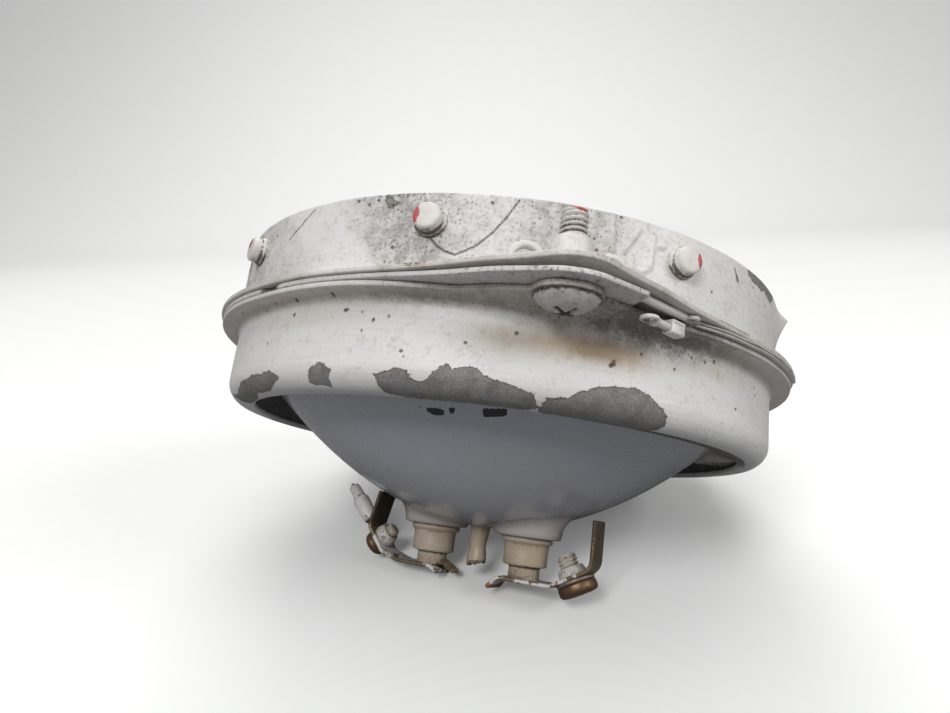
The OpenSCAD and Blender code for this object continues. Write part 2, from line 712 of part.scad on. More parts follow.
lamp_at_rest() mounting_ring();
lamp_at_rest() seat_ring();
lamp_at_rest() band_rivets();
lamp_at_rest() front_gasket();
lamp_at_rest() anchor_nuts();
lamp_at_rest() anchor_rivets();
lamp_at_rest() ring_screws();
lamp_at_rest() clamp_ring();
lamp_at_rest() edge_strap();
lamp_at_rest() lamp_ring();
lamp_at_rest() cushion();
lamp_at_rest() lens();
lamp_at_rest() glass_bowl();
lamp_at_rest() reflector();
lamp_at_rest() filament();
lamp_at_rest() lead_posts();
lamp_at_rest() left_ferrule();
lamp_at_rest() right_ferrule();
lamp_at_rest() exhaust_tip();
lamp_at_rest() left_strip();
lamp_at_rest() right_strip();
lamp_at_rest() left_nut();
lamp_at_rest() right_nut();
lamp_at_rest() left_washer();
lamp_at_rest() right_washer();
lamp_at_rest() left_screw();
lamp_at_rest() right_screw();
lamp_at_rest() wire_stub();
lamp_at_rest() braid_stub();
lamp_at_rest() latch_pin();
lamp_at_rest() latch_knuckle();
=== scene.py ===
"""Dresses the landing light: weathered paint, glass, terminals and small hardware over the fixed frame."""

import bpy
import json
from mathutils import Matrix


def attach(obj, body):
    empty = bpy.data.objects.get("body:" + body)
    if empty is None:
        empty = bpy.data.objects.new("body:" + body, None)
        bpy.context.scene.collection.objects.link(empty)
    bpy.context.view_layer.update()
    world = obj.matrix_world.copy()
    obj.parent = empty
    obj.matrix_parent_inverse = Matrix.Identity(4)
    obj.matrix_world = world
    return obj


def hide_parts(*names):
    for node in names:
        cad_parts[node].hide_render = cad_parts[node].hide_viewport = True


bl_info = {
    "name": "Landing Light",
    "version": (1, 0, 0),
    "blender": (4, 5, 0),
    "location": "View3D > Sidebar > Landing Light",
    "description": "Builds the visible pieces and finishes of a sealed-beam landing light",
    "category": "Object",
}

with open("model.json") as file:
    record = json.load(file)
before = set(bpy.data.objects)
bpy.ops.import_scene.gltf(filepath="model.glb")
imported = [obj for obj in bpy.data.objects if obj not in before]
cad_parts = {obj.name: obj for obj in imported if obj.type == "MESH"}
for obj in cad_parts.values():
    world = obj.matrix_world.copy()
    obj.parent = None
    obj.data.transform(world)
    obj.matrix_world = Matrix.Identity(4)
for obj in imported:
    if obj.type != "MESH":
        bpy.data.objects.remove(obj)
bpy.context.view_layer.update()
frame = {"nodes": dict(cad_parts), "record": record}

import json
import math
from types import SimpleNamespace

import bmesh
import bpy
import numpy as np
from bpy.props import FloatProperty, FloatVectorProperty, PointerProperty
from mathutils import Matrix, Vector

MM = 0.001

# The lamp's own frame: Z along the optical axis towards the lens, -Y towards the first ear.
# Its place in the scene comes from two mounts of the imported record.
MOUNTS = {mount["name"]: mount for mount in frame["record"]["mounts"]}
STUD_LEVEL = 10.6
RIM_LEVEL = 16.3
AXIS = Vector(MOUNTS["screw_studs"]["axis"]).normalized()
CENTRE = Vector(MOUNTS["screw_studs"]["pos_m"]) - AXIS * STUD_LEVEL * MM
FIRST_EAR = (Vector(MOUNTS["front_rim"]["pos_m"]) - CENTRE - AXIS * RIM_LEVEL * MM).normalized()
LAMP_TURN = Matrix((AXIS.cross(FIRST_EAR), -FIRST_EAR, AXIS)).transposed()
TURN = np.array(LAMP_TURN)
ORIGIN = np.array(CENTRE)


# Lamp-frame geometry, in millimetres

def in_scene(points):
    """Points of the lamp's frame, in millimetres, as scene points in metres."""
    return ORIGIN + (np.asarray(points, float) * MM) @ TURN.T


def ripple(points, size, seed):
    """Smooth repeatable noise from -1 to 1, with lumps about size millimetres across."""
    spot = np.asarray(points, float) / size + 31.7 * (seed + 1)
    cell = np.floor(spot).astype(np.int64)
    part = spot - cell
    part = part * part * (3 - 2 * part)
    total = np.zeros(len(spot))
    for corner in np.ndindex(2, 2, 2):
        at = cell + corner
        mixed = (at[:, 0] * 73856093) ^ (at[:, 1] * 19349663) ^ (at[:, 2] * 83492791)
        mixed = ((mixed ^ (mixed >> 13)) * 1274126177) & 0xFFFFFF
        weight = np.prod(np.where(corner, part, 1 - part), axis=1)
        total += weight * (mixed / 8388607.5 - 1)
    return total


def soft_step(value, low, high):
    """Goes smoothly from 0 at low to 1 at high."""
    part = np.clip((value - low) / (high - low), 0, 1)
    return part * part * (3 - 2 * part)


def bell(value, middle, width):
    """A smooth hump of height 1 that fades out at width from its middle."""
    return np.exp(-((value - middle) / width) ** 2 * 2)


def humps(turn, level, *rows):
    """A sum of smooth humps, each of (height, turn, width, level, width)."""
    return sum(height * bell(turn, t, w) * bell(level, z, d) for height, t, w, z, d in rows)


def on_cylinder(turn, radius, height):
    """Points at a turn in degrees from the first ear, a radius and a height."""
    angle = np.radians(turn)
    return np.stack([radius * np.sin(angle), -radius * np.cos(angle), height], axis=-1)


def ripple_on(turn, radius, level, size, seed):
    """The same noise on a grid of turns, radii and levels."""
    return ripple(on_cylinder(turn, radius, level).reshape(-1, 3), size, seed).reshape(level.shape)


def rounded(corners, closed=True, arc_step=18):
    """An outline through corners of (x, y, fillet, step): arcs at the corners, even steps between."""
    count = len(corners)
    points = []
    for i, (x, y, fillet, _) in enumerate(corners):
        here = np.array([x, y], float)
        before = np.array(corners[i - 1][:2], float)
        after = np.array(corners[(i + 1) % count][:2], float)
        end = not closed and i in (0, count - 1)
        if fillet and not end:
            back = (before - here) / np.linalg.norm(before - here)
            ahead = (after - here) / np.linalg.norm(after - here)
            half = math.acos(np.clip(back @ ahead, -1, 1)) / 2
            reach = fillet / math.tan(half)
            middle = here + (back + ahead) / np.linalg.norm(back + ahead) * fillet / math.sin(half)
            first = here + back * reach - middle
            last = here + ahead * reach - middle
            sweep = math.atan2(first[0] * last[1] - first[1] * last[0], first @ last)
            steps = max(1, round(abs(math.degrees(sweep)) / arc_step))
            start = math.atan2(first[1], first[0])
            angles = start + sweep * np.arange(steps + 1) / steps
            arc = list(middle + fillet * np.stack([np.cos(angles), np.sin(angles)], axis=1))
        else:
            arc = [here]
        if points:
            points += between(points[-1], arc[0], corners[i - 1][3])
        points += arc
    if closed:
        points += between(points[-1], points[0], corners[-1][3])
    return np.array(points)


def between(start, end, step):
    """The inner points of a straight run, no further than step apart."""
    steps = max(1, math.ceil(np.linalg.norm(end - start) / step))
    return [start + (end - start) * k / steps for k in range(1, steps)]


def grid_faces(rows, columns, close_rows=False, close_columns=False):
    """Quads of a grid of points, joined end to start where it closes."""
    i = np.arange(rows if close_rows else rows - 1)[:, None]
    j = np.arange(columns if close_columns else columns - 1)[None, :]
    down, right = (i + 1) % rows, (j + 1) % columns
    corners = [i * columns + j, down * columns + j, down * columns + right, i * columns + right]
    return np.stack([np.broadcast_to(c, (i.size, j.size)).ravel() for c in corners], axis=1).tolist()


def full_turn(sides):
    """The angles of a closed ring of points."""
    return np.linspace(0, 2 * math.pi, sides, endpoint=False)


def capped(rings, sides):
    """Faces of a stack of closed rings of points, with a cap at each end."""
    last = (rings - 1) * sides
    return grid_faces(rings, sides, False, True) + [list(range(sides)), list(range(last, last + sides))]


def turned(profile, sides=48):
    """A solid of revolution about Z from (radius, height) points; a radius of 0 closes to one point."""
    profile = [tuple(p) for p in profile]
    angles = full_turn(sides)
    points, rings, faces = [], [], []
    for radius, height in profile:
        start = len(points)
        if radius < 1e-6:
            points.append((0, 0, height))
            rings.append([start] * sides)
        else:
            points += [(radius * math.cos(a), radius * math.sin(a), height) for a in angles]
            rings.append(list(range(start, start + sides)))
    closed = profile[0][0] > 1e-6 and profile[-1][0] > 1e-6
    pairs = list(zip(rings, rings[1:])) + ([(rings[-1], rings[0])] if closed else [])
    for low, high in pairs:
        for k in range(sides):
            face = [low[k], low[(k + 1) % sides], high[(k + 1) % sides], high[k]]
            face = [v for n, v in enumerate(face) if v not in face[:n]]
            if len(face) > 2:
                faces.append(face)
    return np.array(points), faces


def directions(path, up):
    """Unit tangents of a path and two unit side directions that turn with it as little as they can."""
    ahead = np.gradient(path, axis=0)
    ahead /= np.linalg.norm(ahead, axis=1)[:, None]
    side = np.cross(ahead[0], up)
    sides = []
    for tangent in ahead:
        side = side - (side @ tangent) * tangent
        side = side / np.linalg.norm(side)
        sides.append(side)
    sides = np.array(sides)
    return ahead, sides, np.cross(sides, ahead)


def tube(path, radius, sides=12, up=(0, 0, 1), closed=False):
    """A round bar along a path, with its ends closed."""
    path = np.asarray(path, float)
    radius = np.broadcast_to(np.asarray(radius, float), (len(path),))
    _, across, upward = directions(path, np.asarray(up, float))
    angle = full_turn(sides)
    ring = np.cos(angle)[:, None] * across[:, None] + np.sin(angle)[:, None] * upward[:, None]
    points = (path[:, None] + ring * radius[:, None, None]).reshape(-1, 3)
    faces = grid_faces(len(path), sides, closed, True)
    if not closed:
        faces.append(list(range(sides))[::-1])
        faces.append(list(range(len(points) - sides, len(points))))
    return points, faces


def curve_through(knots, steps=8):
    """A smooth path through given points."""
    knots = np.asarray(knots, float)
    padded = np.vstack([2 * knots[0] - knots[1], knots, 2 * knots[-1] - knots[-2]])
    path = []
    for i in range(1, len(padded) - 2):
        a, b, c, d = padded[i - 1:i + 3]
        for t in np.linspace(0, 1, steps, endpoint=False):
            path.append(0.5 * (2 * b + (c - a) * t + (2 * a - 5 * b + 4 * c - d) * t * t
                               + (3 * b - a - 3 * c + d) * t ** 3))
    path.append(knots[-1])
    return np.array(path)


def turned_by(degrees, axis="Z"):
    return Matrix.Rotation(math.radians(degrees), 4, axis)


def moved(shape, matrix):
    """The same points and faces, placed by a 4 x 4 matrix."""
    points, faces = shape
    place = np.array(matrix)
    return points @ place[:3, :3].T + place[:3, 3], faces


# Distances on a surface, in millimetres, for marks with crisp edges

def inside_of(x, y, outline):
    """Signed distance to a closed outline, positive inside."""
    corners = np.array(outline, float)
    nearest = np.full(x.shape, 1e9)
    inside = np.zeros(x.shape, bool)
    for (ax, ay), (bx, by) in zip(corners, np.roll(corners, -1, axis=0)):
        nearest = np.minimum(nearest, to_segment(x, y, ax, ay, bx, by))
        crosses = ((ay > y) != (by > y)) & (x < (bx - ax) * (y - ay) / (by - ay + 1e-12) + ax)
        inside ^= crosses
    return np.where(inside, nearest, -nearest)


def to_segment(x, y, ax, ay, bx, by):
    """Distance from each point to one straight run."""
    ex, ey = bx - ax, by - ay
    along = np.clip(((x - ax) * ex + (y - ay) * ey) / (ex * ex + ey * ey + 1e-12), 0, 1)
    return np.hypot(x - ax - along * ex, y - ay - along * ey)


def to_line(x, y, path):
    """Distance from each point to an open line."""
    return np.min([to_segment(x, y, *a, *b) for a, b in zip(path, path[1:])], axis=0)


def unrolled(path, radius):
    """Points of (turn, height) on a cylinder, laid flat."""
    return [(math.radians(turn) * radius, height) for turn, height in path]


def in_patches(x, y, radius, outlines):
    """Signed distance to the nearest of several outlines on a cylinder, positive inside."""
    return np.max([inside_of(x, y, unrolled(outline, radius)) for outline in outlines], axis=0)


def to_lines(x, y, radius, lines):
    """Distance to the nearest of several lines on a cylinder."""
    return np.min([to_line(x, y, unrolled(line, radius)) for line in lines], axis=0)


def to_dots(x, y, radius, dots):
    """Distance to the edge of the nearest of several dots of (turn, height, size) on a cylinder."""
    gaps = [np.hypot(x - math.radians(turn) * radius, y - height) - size for turn, height, size in dots]
    return np.min(gaps, axis=0)


def spot(x, y, middle, size):
    """Roughly the signed distance to an oval, positive inside."""
    return (1 - np.hypot((x - middle[0]) / size[0], (y - middle[1]) / size[1])) * min(size)


# Marks that a finish reads from a mesh: distances inside a patch or to a crack, and amounts of dirt, stain
# and grey grime; some pieces also paint shade through the dirt, stain and grey amounts
NO_MARKS = {"bare": -9.0, "crack": 9.0, "stain": 0.0, "soil": 0.0, "grey": 0.0, "red": -9.0}


class Shape:
    """Collects meshes of one piece in the lamp's frame, with the marks on them."""

    def __init__(self):
        self.points, self.faces, self.marks, self.slots = [], [], {name: [] for name in NO_MARKS}, []
        self.count = 0

    def add(self, shape, slot=0, **marks):
        """Adds points and faces, their finish's place in the piece's list, and marks by name."""
        points, faces = shape
        self.points.append(np.asarray(points, float))
        self.faces += [[v + self.count for v in face] for face in faces]
        self.slots += [slot] * len(faces)
        for name, plain in NO_MARKS.items():
            value = np.asarray(marks.get(name, plain), float)
            self.marks[name].append(np.broadcast_to(value.ravel() if value.ndim else value, (len(points),)))
        self.count += len(points)
        return self

    def piece(self, name, finishes, replaces, slot, body="lamp"):
        """Makes the scene's object from the meshes so far."""
        mesh = bpy.data.meshes.new(name)
        mesh.from_pydata(in_scene(np.vstack(self.points)).tolist(), [], self.faces)
        mesh.validate()
        mesh.update()
        work = bmesh.new()
        work.from_mesh(mesh)
        bmesh.ops.recalc_face_normals(work, faces=work.faces)
        work.to_mesh(mesh)
        work.free()
        for mark, values in self.marks.items():
            offset = np.concatenate(values) - NO_MARKS[mark]
            mesh.attributes.new(mark, "FLOAT", "POINT").data.foreach_set("value", offset.astype(np.float32))
        mesh.shade_smooth()
        for look in finishes:
            mesh.materials.append(finish(look))
        mesh.polygons.foreach_set("material_index", self.slots)
        made = bpy.data.objects.new(name, mesh)
        bpy.context.collection.objects.link(made)
        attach(made, body)
        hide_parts(*replaces)


# Shader nodes

class Value:
    """One value of a node tree. Arithmetic on it adds the nodes that work it out."""

    def __init__(self, tree, socket):
        self.tree, self.socket = tree, socket

    def math(self, operation, second=0.0, third=0.0):
        return self.tree.math(operation, self, second, third)

    def __add__(self, other):
        return self.math("ADD", other)

    def __sub__(self, other):
        return self.math("SUBTRACT", other)

    def __mul__(self, other):
        return self.math("MULTIPLY", other)

    def scaled(self, factor, offset):
        return self.math("MULTIPLY_ADD", factor, offset)

    def fade(self, low, high):
        """0 below low and 1 above high, or the other way where low is the larger."""
        inputs = {"Value": self, "From Min": low, "From Max": high}
        return self.tree.value("ShaderNodeMapRange", "Result", inputs, interpolation_type="SMOOTHSTEP")

    def relief(self, depth):
        """Turns a height from 0 to 1 into relief, depth millimetres deep."""
        return self.tree.value("ShaderNodeBump", "Normal", {"Height": self, "Distance": depth * MM})


class Tree:
    """Adds nodes to one node tree, and keeps the colour that its layers build up."""

    def __init__(self, nodes):
        self.nodes, self.colour, self.place = nodes, None, None

    def put(self, socket, value):
        """Links a value to a socket, or sets the socket to it."""
        if isinstance(value, Value):
            self.nodes.links.new(value.socket, socket)
        else:
            socket.default_value = (*tuple(value)[:3], 1) if socket.type == "RGBA" else value

    def node(self, kind, inputs=None, **settings):
        made = self.nodes.nodes.new(kind)
        for key, value in settings.items():
            setattr(made, key, value)
        for key, value in (inputs or {}).items():
            self.put(made.inputs[key], value)
        return made

    def value(self, kind, output, inputs=None, **settings):
        return Value(self, self.node(kind, inputs, **settings).outputs[output])

    def math(self, operation, first, second=0.0, third=0.0):
        return self.value("ShaderNodeMath", 0, {0: first, 1: second, 2: third}, operation=operation)

    def mix(self, amount, first, second):
        inputs = {"Factor": amount, 6: first, 7: second}
        return self.value("ShaderNodeMix", 2, inputs, data_type="RGBA", blend_type="MIX", clamp_factor=True)

    def coat(self, amount, tint):
        """Lays another layer over the colour so far."""
        self.colour = self.mix(amount, self.colour, tint)

    def lamp_place(self):
        """Where the shaded point lies in the lamp's frame, in millimetres."""
        back = LAMP_TURN.transposed()
        inputs = {"Vector": self.value("ShaderNodeTexCoord", "Object"), "Location": -(back @ CENTRE) / MM,
                  "Rotation": back.to_euler(), "Scale": (1 / MM,) * 3}
        return self.value("ShaderNodeMapping", "Vector", inputs, vector_type="POINT")

    def noise(self, scale, detail=2.0, rough=0.5, stretch=None):
        """Noise at the place. A stretch scales the three axes apart, for streaks."""
        where = self.place
        if stretch:
            inputs = {"Vector": where, "Scale": stretch}
            where = self.value("ShaderNodeMapping", "Vector", inputs, vector_type="POINT")
        inputs = {"Vector": where, "Scale": scale, "Detail": detail, "Roughness": rough}
        return self.value("ShaderNodeTexNoise", "Fac", inputs)

    def specks(self, scale, size, share):
        """Scattered small dots: scale sets how close they lie, share how many cells hold one."""
        cells = self.node("ShaderNodeTexVoronoi", {"Vector": self.place, "Scale": scale})
        chosen = self.value("ShaderNodeSeparateColor", "Red", {"Color": Value(self, cells.outputs["Color"])})
        near = Value(self, cells.outputs["Distance"]).fade(size, size * 0.5)
        return near * chosen.math("LESS_THAN", share)

    def mark(self, name):
        """A mark's value. Meshes keep it as an offset, so that a mesh without marks counts as unmarked."""
        return self.value("ShaderNodeAttribute", "Fac", attribute_name=name) + NO_MARKS[name]

    def crust_and_shade(self, fine, low=0.86, high=1.05):
        """Where dirt has stuck, and where a piece paints shade through the same mark, ragged by a fine noise.
        """
        return (self.mark("soil") + fine * 0.9).fade(low, high)


# Sizes and colours that can be changed in the sidebar

def length(name, description, millimetres):
    return FloatProperty(name=name, description=description, default=millimetres * MM, min=0.0, unit="LENGTH",
                         precision=5)


def power(name, description, watts):
    return FloatProperty(name=name, description=description, default=watts, min=0.0, unit="POWER")


def tint(name, description, shown):
    """A colour given as it shows on a screen, kept as the shaders need it."""
    linear = [((c / 255 + 0.055) / 1.055) ** 2.4 if c > 10 else c / 3294.6 for c in shown]
    return FloatVectorProperty(name=name, description=description, default=linear, min=0.0, max=1.0,
                               subtype="COLOR", size=3)


class RingSizes(bpy.types.PropertyGroup):
    wall_r: length("Wall radius", "Outer radius of the rear lamp ring's wall", 59.0)
    sheet: length("Sheet", "Thickness of the pressed sheet", 0.9)
    band_r: length("Band radius", "Outer radius of the mounting band", 59.8)
    band_top: length("Band height", "Height of the front rim above the flange joint", 16.3)
    lamp_flange_r: length("Rear flange radius", "Radius of the lamp ring's flange between its ears", 62.7)
    clamp_flange_r: length("Clamp ring radius", "Radius of the thin ring between the flanges", 62.8)
    mount_flange_r: length("Mounting flange radius", "Radius of the mounting flange between its ears", 63.3)
    ear_circle_r: length("Ear circle", "Distance of the ears' screws from the optical axis", 67.0)
    lamp_tip_r: length("Rear ear tip", "Radius of the lamp ring's ear tips", 5.2)
    clamp_tip_r: length("Clamp ear tip", "Radius of the clamp ring's ear tips", 7.4)
    mount_tip_r: length("Mounting ear tip", "Radius of the mounting ring's ear tips", 8.0)
    lip_r: length("Lip radius", "Outer radius of the rounded rear lip", 4.0)
    depth: length("Depth", "Depth of the lamp ring behind the flange joint", 16.0)
    rear_hole_r: length("Rear opening", "Radius of the opening that the bowl shows through", 53.2)
    rivet_level: length("Rivet height", "Height of the band rivets above the flange joint", 11.1)
    rivet_r: length("Rivet radius", "Radius of a band rivet's button", 2.35)
    rivet_out: length("Rivet height out", "How far a button stands out of the band", 2.5)


class LampSizes(bpy.types.PropertyGroup):
    glass_r: length("Glass radius", "Radius of the sealed lamp's rim", 56.9)
    shoulder_r: length("Shoulder radius", "Radius where the bowl meets its rim", 56.0)
    bowl_depth: length("Bowl depth", "Depth of the bowl's vertex behind the flange joint", 34.7)
    shoulder_drop: length("Shoulder depth", "Depth of the bowl's shoulder behind the flange joint", 4.8)
    glass_t: length("Glass thickness", "Thickness of the bowl's glass", 2.6)
    rim_top: length("Rim height", "Top of the glass rim above the flange joint", 4.6)
    lens_rise: length("Lens rise", "Rise of the lens above its rim", 9.9)
    lens_t: length("Lens thickness", "Thickness of the lens", 3.0)
    coil_r: length("Coil radius", "Radius of the filament's coil", 0.75)
    coil_length: length("Coil length", "Length of the filament's coil", 9.0)
    lead_r: length("Lead radius", "Radius of the lead posts", 0.8)
    tip_length: length("Exhaust tip", "Length of the broken exhaust tip", 8.6)
    tip_r: length("Exhaust tip radius", "Radius of the broken exhaust tip", 2.0)


class TerminalSizes(bpy.types.PropertyGroup):
    turn: FloatProperty(name="Turn", description="Turn of the two terminals about the optical axis",
                        default=math.radians(-32.5), unit="ROTATION")
    offset: length("Offset", "Distance of each terminal from the optical axis", 11.5)
    boss_level: length("Boss depth", "Depth of the glass bosses' ends", 35.6)
    neck_level: length("Neck depth", "Depth of the ferrules' necks", 41.6)
    strip_level: length("Strip depth", "Depth of the strips' upper face", 44.3)
    ferrule_r: length("Ferrule radius", "Radius of a ferrule's body", 4.85)
    neck_r: length("Neck radius", "Radius of a ferrule's neck", 3.4)
    strip_w: length("Strip width", "Width of the terminal strips", 7.0)
    strip_t: length("Strip thickness", "Thickness of the terminal strips", 0.8)


class ScrewSizes(bpy.types.PropertyGroup):
    screw_r: length("Screw radius", "Thread radius of the clamp screws and the right terminal screw", 2.08)
    pitch: length("Pitch", "Pitch of the threads", 0.794)
    head_r: length("Head radius", "Radius of the clamp screws' heads", 4.9)
    head_h: length("Head height", "Height of the clamp screws' heads", 2.3)
    top: length("Screw length", "Height of the clamp screws' ends above the flange joint", 11.4)
    nut_h: length("Nut height", "Height of an anchor nut's barrel", 5.1)
    right_head_r: length("Right head radius", "Radius of the right terminal screw's head", 4.15)
    left_head_r: length("Left head radius", "Radius of the left terminal screw's head", 2.9)
    left_screw_r: length("Left screw radius", "Thread radius of the left terminal screw", 1.7)


class PaintLook(bpy.types.PropertyGroup):
    paint: tint("Paint", "Clean off-white paint", (231, 230, 228))
    worn: tint("Worn paint", "Paint that has greyed", (206, 204, 202))
    # The stain, grime and dirt colours also paint shade: under the rear ring's flange and first ear, along
    # its lip's rear edge, under the rivets, in the clamp screws' thread roots and inside the pull pin's eye.
    stain: tint("Stain", "Tan film of old dirt", (168, 148, 122))
    grime_and_shade: tint("Grime", "Grey grime worked into the paint", (136, 134, 131))
    dirt: tint("Dirt", "Dark brown dirt in corners and cracks", (62, 48, 36))
    grit: tint("Grit", "Brownish grit stuck in the paint", (122, 112, 100))
    primer: tint("Primer", "Bare grey metal where the paint has flaked", (118, 117, 115))
    flake_edge: tint("Flake edge", "Brown line round a flaked patch", (92, 72, 52))
    red: tint("Red", "Remains of red paint on the rivets", (186, 44, 52))
    cream: tint("Cream", "Dirty cream paint of the ferrules", (178, 165, 147))


class MetalLook(bpy.types.PropertyGroup):
    alloy: tint("Dull alloy", "Dusty grey aluminium", (140, 138, 136))
    steel: tint("Steel", "Stained plated steel", (150, 142, 130))
    brass: tint("Brass", "Tarnished brass of the strips", (150, 132, 100))
    tarnish: tint("Tarnish", "Dark brown film on the brass", (74, 62, 48))
    copper: tint("Copper", "Clean end of the right strip", (176, 112, 78))
    brown: tint("Brown screw", "Brown tarnish on the terminal screws", (122, 96, 70))
    tungsten: tint("Tungsten", "Grey filament wire", (110, 106, 102))


class GlassLook(bpy.types.PropertyGroup):
    bowl: tint("Bowl", "Silvered glass seen from outside", (184, 186, 194))
    dust: tint("Dust", "Light dust on the bowl", (170, 166, 160))
    film: tint("Film", "Cream film on the bosses and the lug", (172, 163, 151))
    rubber: tint("Rubber", "Aged rubber of the gasket and the cushion", (44, 42, 42))
    wire: tint("Wire", "White insulation of the cut wire", (222, 219, 214))


class StageLook(bpy.types.PropertyGroup):
    floor: tint("Floor", "Pale floor and backdrop as the camera sees them", (238, 238, 237))
    bounce: tint("Bounce", "Floor as it lights the part from below, like the dark ground in the photograph",
                 (120, 120, 122))
    key_power: power("Overhead light", "Power of the large lamp above", 8.0)
    fill_power: power("Front light", "Power of the lamp in front", 10.0)
    side_power: power("Side light", "Power of the lamp on the right", 7.0)
    back_power: power("Back light", "Power of the lamp behind the light", 6.0)
    world: FloatProperty(name="Surrounding light", description="Strength of the even light from all round",
                         default=0.27, min=0.0)


GROUPS = {"ring_sizes": RingSizes, "lamp_sizes": LampSizes, "terminal_sizes": TerminalSizes,
          "screw_sizes": ScrewSizes, "paint_look": PaintLook, "metal_look": MetalLook,
          "glass_look": GlassLook, "stage_look": StageLook}


def in_mm(name):
    """The lengths of one group of sizes, in millimetres."""
    group = getattr(bpy.context.scene, name)
    lengths = [p.identifier for p in group.bl_rna.properties if p.type == "FLOAT" and p.unit == "LENGTH"]
    return SimpleNamespace(**{key: getattr(group, key) / MM for key in lengths})


# Finishes

def material(name, make):
    """The finish of that name, made on its first use."""
    found = bpy.data.materials.get(name)
    if found:
        return found
    made = bpy.data.materials.new(name)
    made.use_nodes = True
    tree = Tree(made.node_tree)
    tree.place = tree.lamp_place()
    surface = made.node_tree.nodes["Principled BSDF"]
    for key, value in make(tree).items():
        tree.put(surface.inputs[key], value)
    return made


def old_paint(tree, dirtiness=1.0, cream=False):
    """Hand-brushed off-white paint: streaks round the ring, tan film, grime, flaked patches and cracks, and
    painted shade where a piece's stain, grey and dirt marks put it.
    """
    look = bpy.context.scene.paint_look
    streak = tree.noise(1.0, 4, 0.6, stretch=(0.1, 0.1, 1.6))
    cloud, patch = tree.noise(0.055, 3, 0.6), tree.noise(0.42, 5, 0.68)
    fine, grain = tree.noise(1.7, 4, 0.65), tree.noise(6.0, 2, 0.6)
    grey = tree.mark("grey")
    tree.colour = look.cream if cream else look.paint
    tree.coat(streak.fade(0.45, 0.75) * 0.28, look.worn)
    tree.coat(cloud.fade(0.5, 0.78) * 0.35, look.worn)
    tree.coat(tree.mark("stain") * patch.scaled(0.9, 0.45), look.stain)
    tree.coat(grey * patch.fade(0.36, 0.64).scaled(0.6, 0.3), look.grime_and_shade)
    pepper = tree.specks(1.5, 0.34, 0.3) * (grey + patch * 0.5).fade(0.4, 0.8)
    tree.coat(pepper * 0.6, look.dirt)
    tree.coat(tree.specks(0.42, 0.16, 0.12 * dirtiness) * 0.75, look.dirt)
    tree.coat(fine.fade(0.5, 0.66) * grey.scaled(0.75, 0.08), look.grit)
    tree.coat(fine.scaled(0.4, patch).fade(0.73, 0.95) * 0.34, look.stain)
    crust_and_shade = tree.crust_and_shade(fine, 0.82, 1.06)
    tree.coat(crust_and_shade * 0.88, look.dirt)
    jag = (fine - 0.5) * 0.7
    bare = jag.scaled(1.2, tree.mark("bare")) + patch.scaled(1.5, -0.75)
    flaked = bare.fade(-0.05, 0.05)
    primer = tree.mix(grain.fade(0.4, 0.66) * 0.36, look.primer, look.worn)
    tree.coat(flaked, tree.mix(patch.fade(0.42, 0.7) * 0.45, primer, look.flake_edge))
    rim = bare.math("ABSOLUTE").fade(0.2, 0.06) * bare.fade(-0.3, 0.0)
    tree.coat(rim * 0.6, look.flake_edge)
    crack = (tree.mark("crack") + jag * 0.5).fade(0.24, 0.1)
    tree.coat(crack * 0.8, look.dirt)
    red = (tree.mark("red") + jag * 1.2).fade(-0.04, 0.06)
    tree.coat(red * 0.9, look.red)
    height = streak * 0.3 + fine * 0.5 - flaked * 0.6 - crack * 0.8 + grey * patch * 1.6 + crust_and_shade * 0.7
    rough = fine.scaled(0.2, 0.3) + flaked.math("MAXIMUM", grey) * 0.2
    return {"Base Color": tree.colour, "Roughness": rough, "Normal": height.relief(0.16)}


def bare_metal(tree, clean, tarnish, roughness, metal, amount, splash=0.0):
    """Old metal: brushed colour with a patchy film, and splashes of paint where there are any."""
    look = bpy.context.scene.paint_look
    broad, fine = tree.noise(0.35, 4, 0.6), tree.noise(2.4, 4, 0.65)
    film = (broad + fine * 0.4).fade(0.9, 0.5) * amount
    tree.colour = tree.mix(film, clean, tarnish)
    crust_and_shade = tree.crust_and_shade(fine)
    tree.coat(crust_and_shade, look.dirt)
    painted = tree.mark("grey").scaled(0.3, broad).fade(0.66 - 0.3 * splash, 0.72 - 0.3 * splash)
    paint = painted * (0.8 if splash else 0.0)
    tree.coat(paint, look.paint)
    tree.coat(tree.mark("red").fade(-0.2, 0.4), bpy.context.scene.metal_look.copper)
    dulled = film.math("MAXIMUM", crust_and_shade).math("MAXIMUM", paint)
    return {"Base Color": tree.colour, "Metallic": tree.math("SUBTRACT", 1.0, dulled) * metal,
            "Roughness": fine.scaled(0.3, roughness - 0.1), "Normal": fine.relief(0.06)}


def silvered_bowl(tree):
    """Glass with a silver coat behind it: bluish grey and glossy, with dust, black specks and dirt."""
    look = bpy.context.scene.glass_look
    cloud, fine = tree.noise(0.04, 3, 0.5), tree.noise(1.4, 4, 0.65)
    tree.colour = tree.mix(cloud.fade(0.4, 0.8) * 0.3, look.bowl, look.dust)
    tree.coat(tree.mark("stain") * fine.scaled(0.8, 0.5), look.film)
    crust_and_shade = tree.crust_and_shade(fine)
    tree.coat(crust_and_shade * 0.85, bpy.context.scene.paint_look.dirt)
    tree.coat((tree.mark("crack") + (fine - 0.5) * 0.5).fade(0.1, 0.0), (0.012, 0.011, 0.011))
    rough = fine.fade(0.3, 0.8).scaled(0.16, 0.2) + crust_and_shade * 0.4
    return {"Base Color": tree.colour, "Roughness": rough, "Normal": cloud.relief(0.15), "Coat Weight": 0.4,
            "Coat Roughness": 0.12}


def clear_glass(tree):
    """Clear moulded glass with the faint unevenness of its mould."""
    flow = tree.noise(0.12, 2, 0.4)
    return {"Base Color": (0.93, 0.97, 0.97), "Roughness": flow * 0.05, "Transmission Weight": 1.0,
            "IOR": 1.48, "Normal": flow.relief(0.25)}


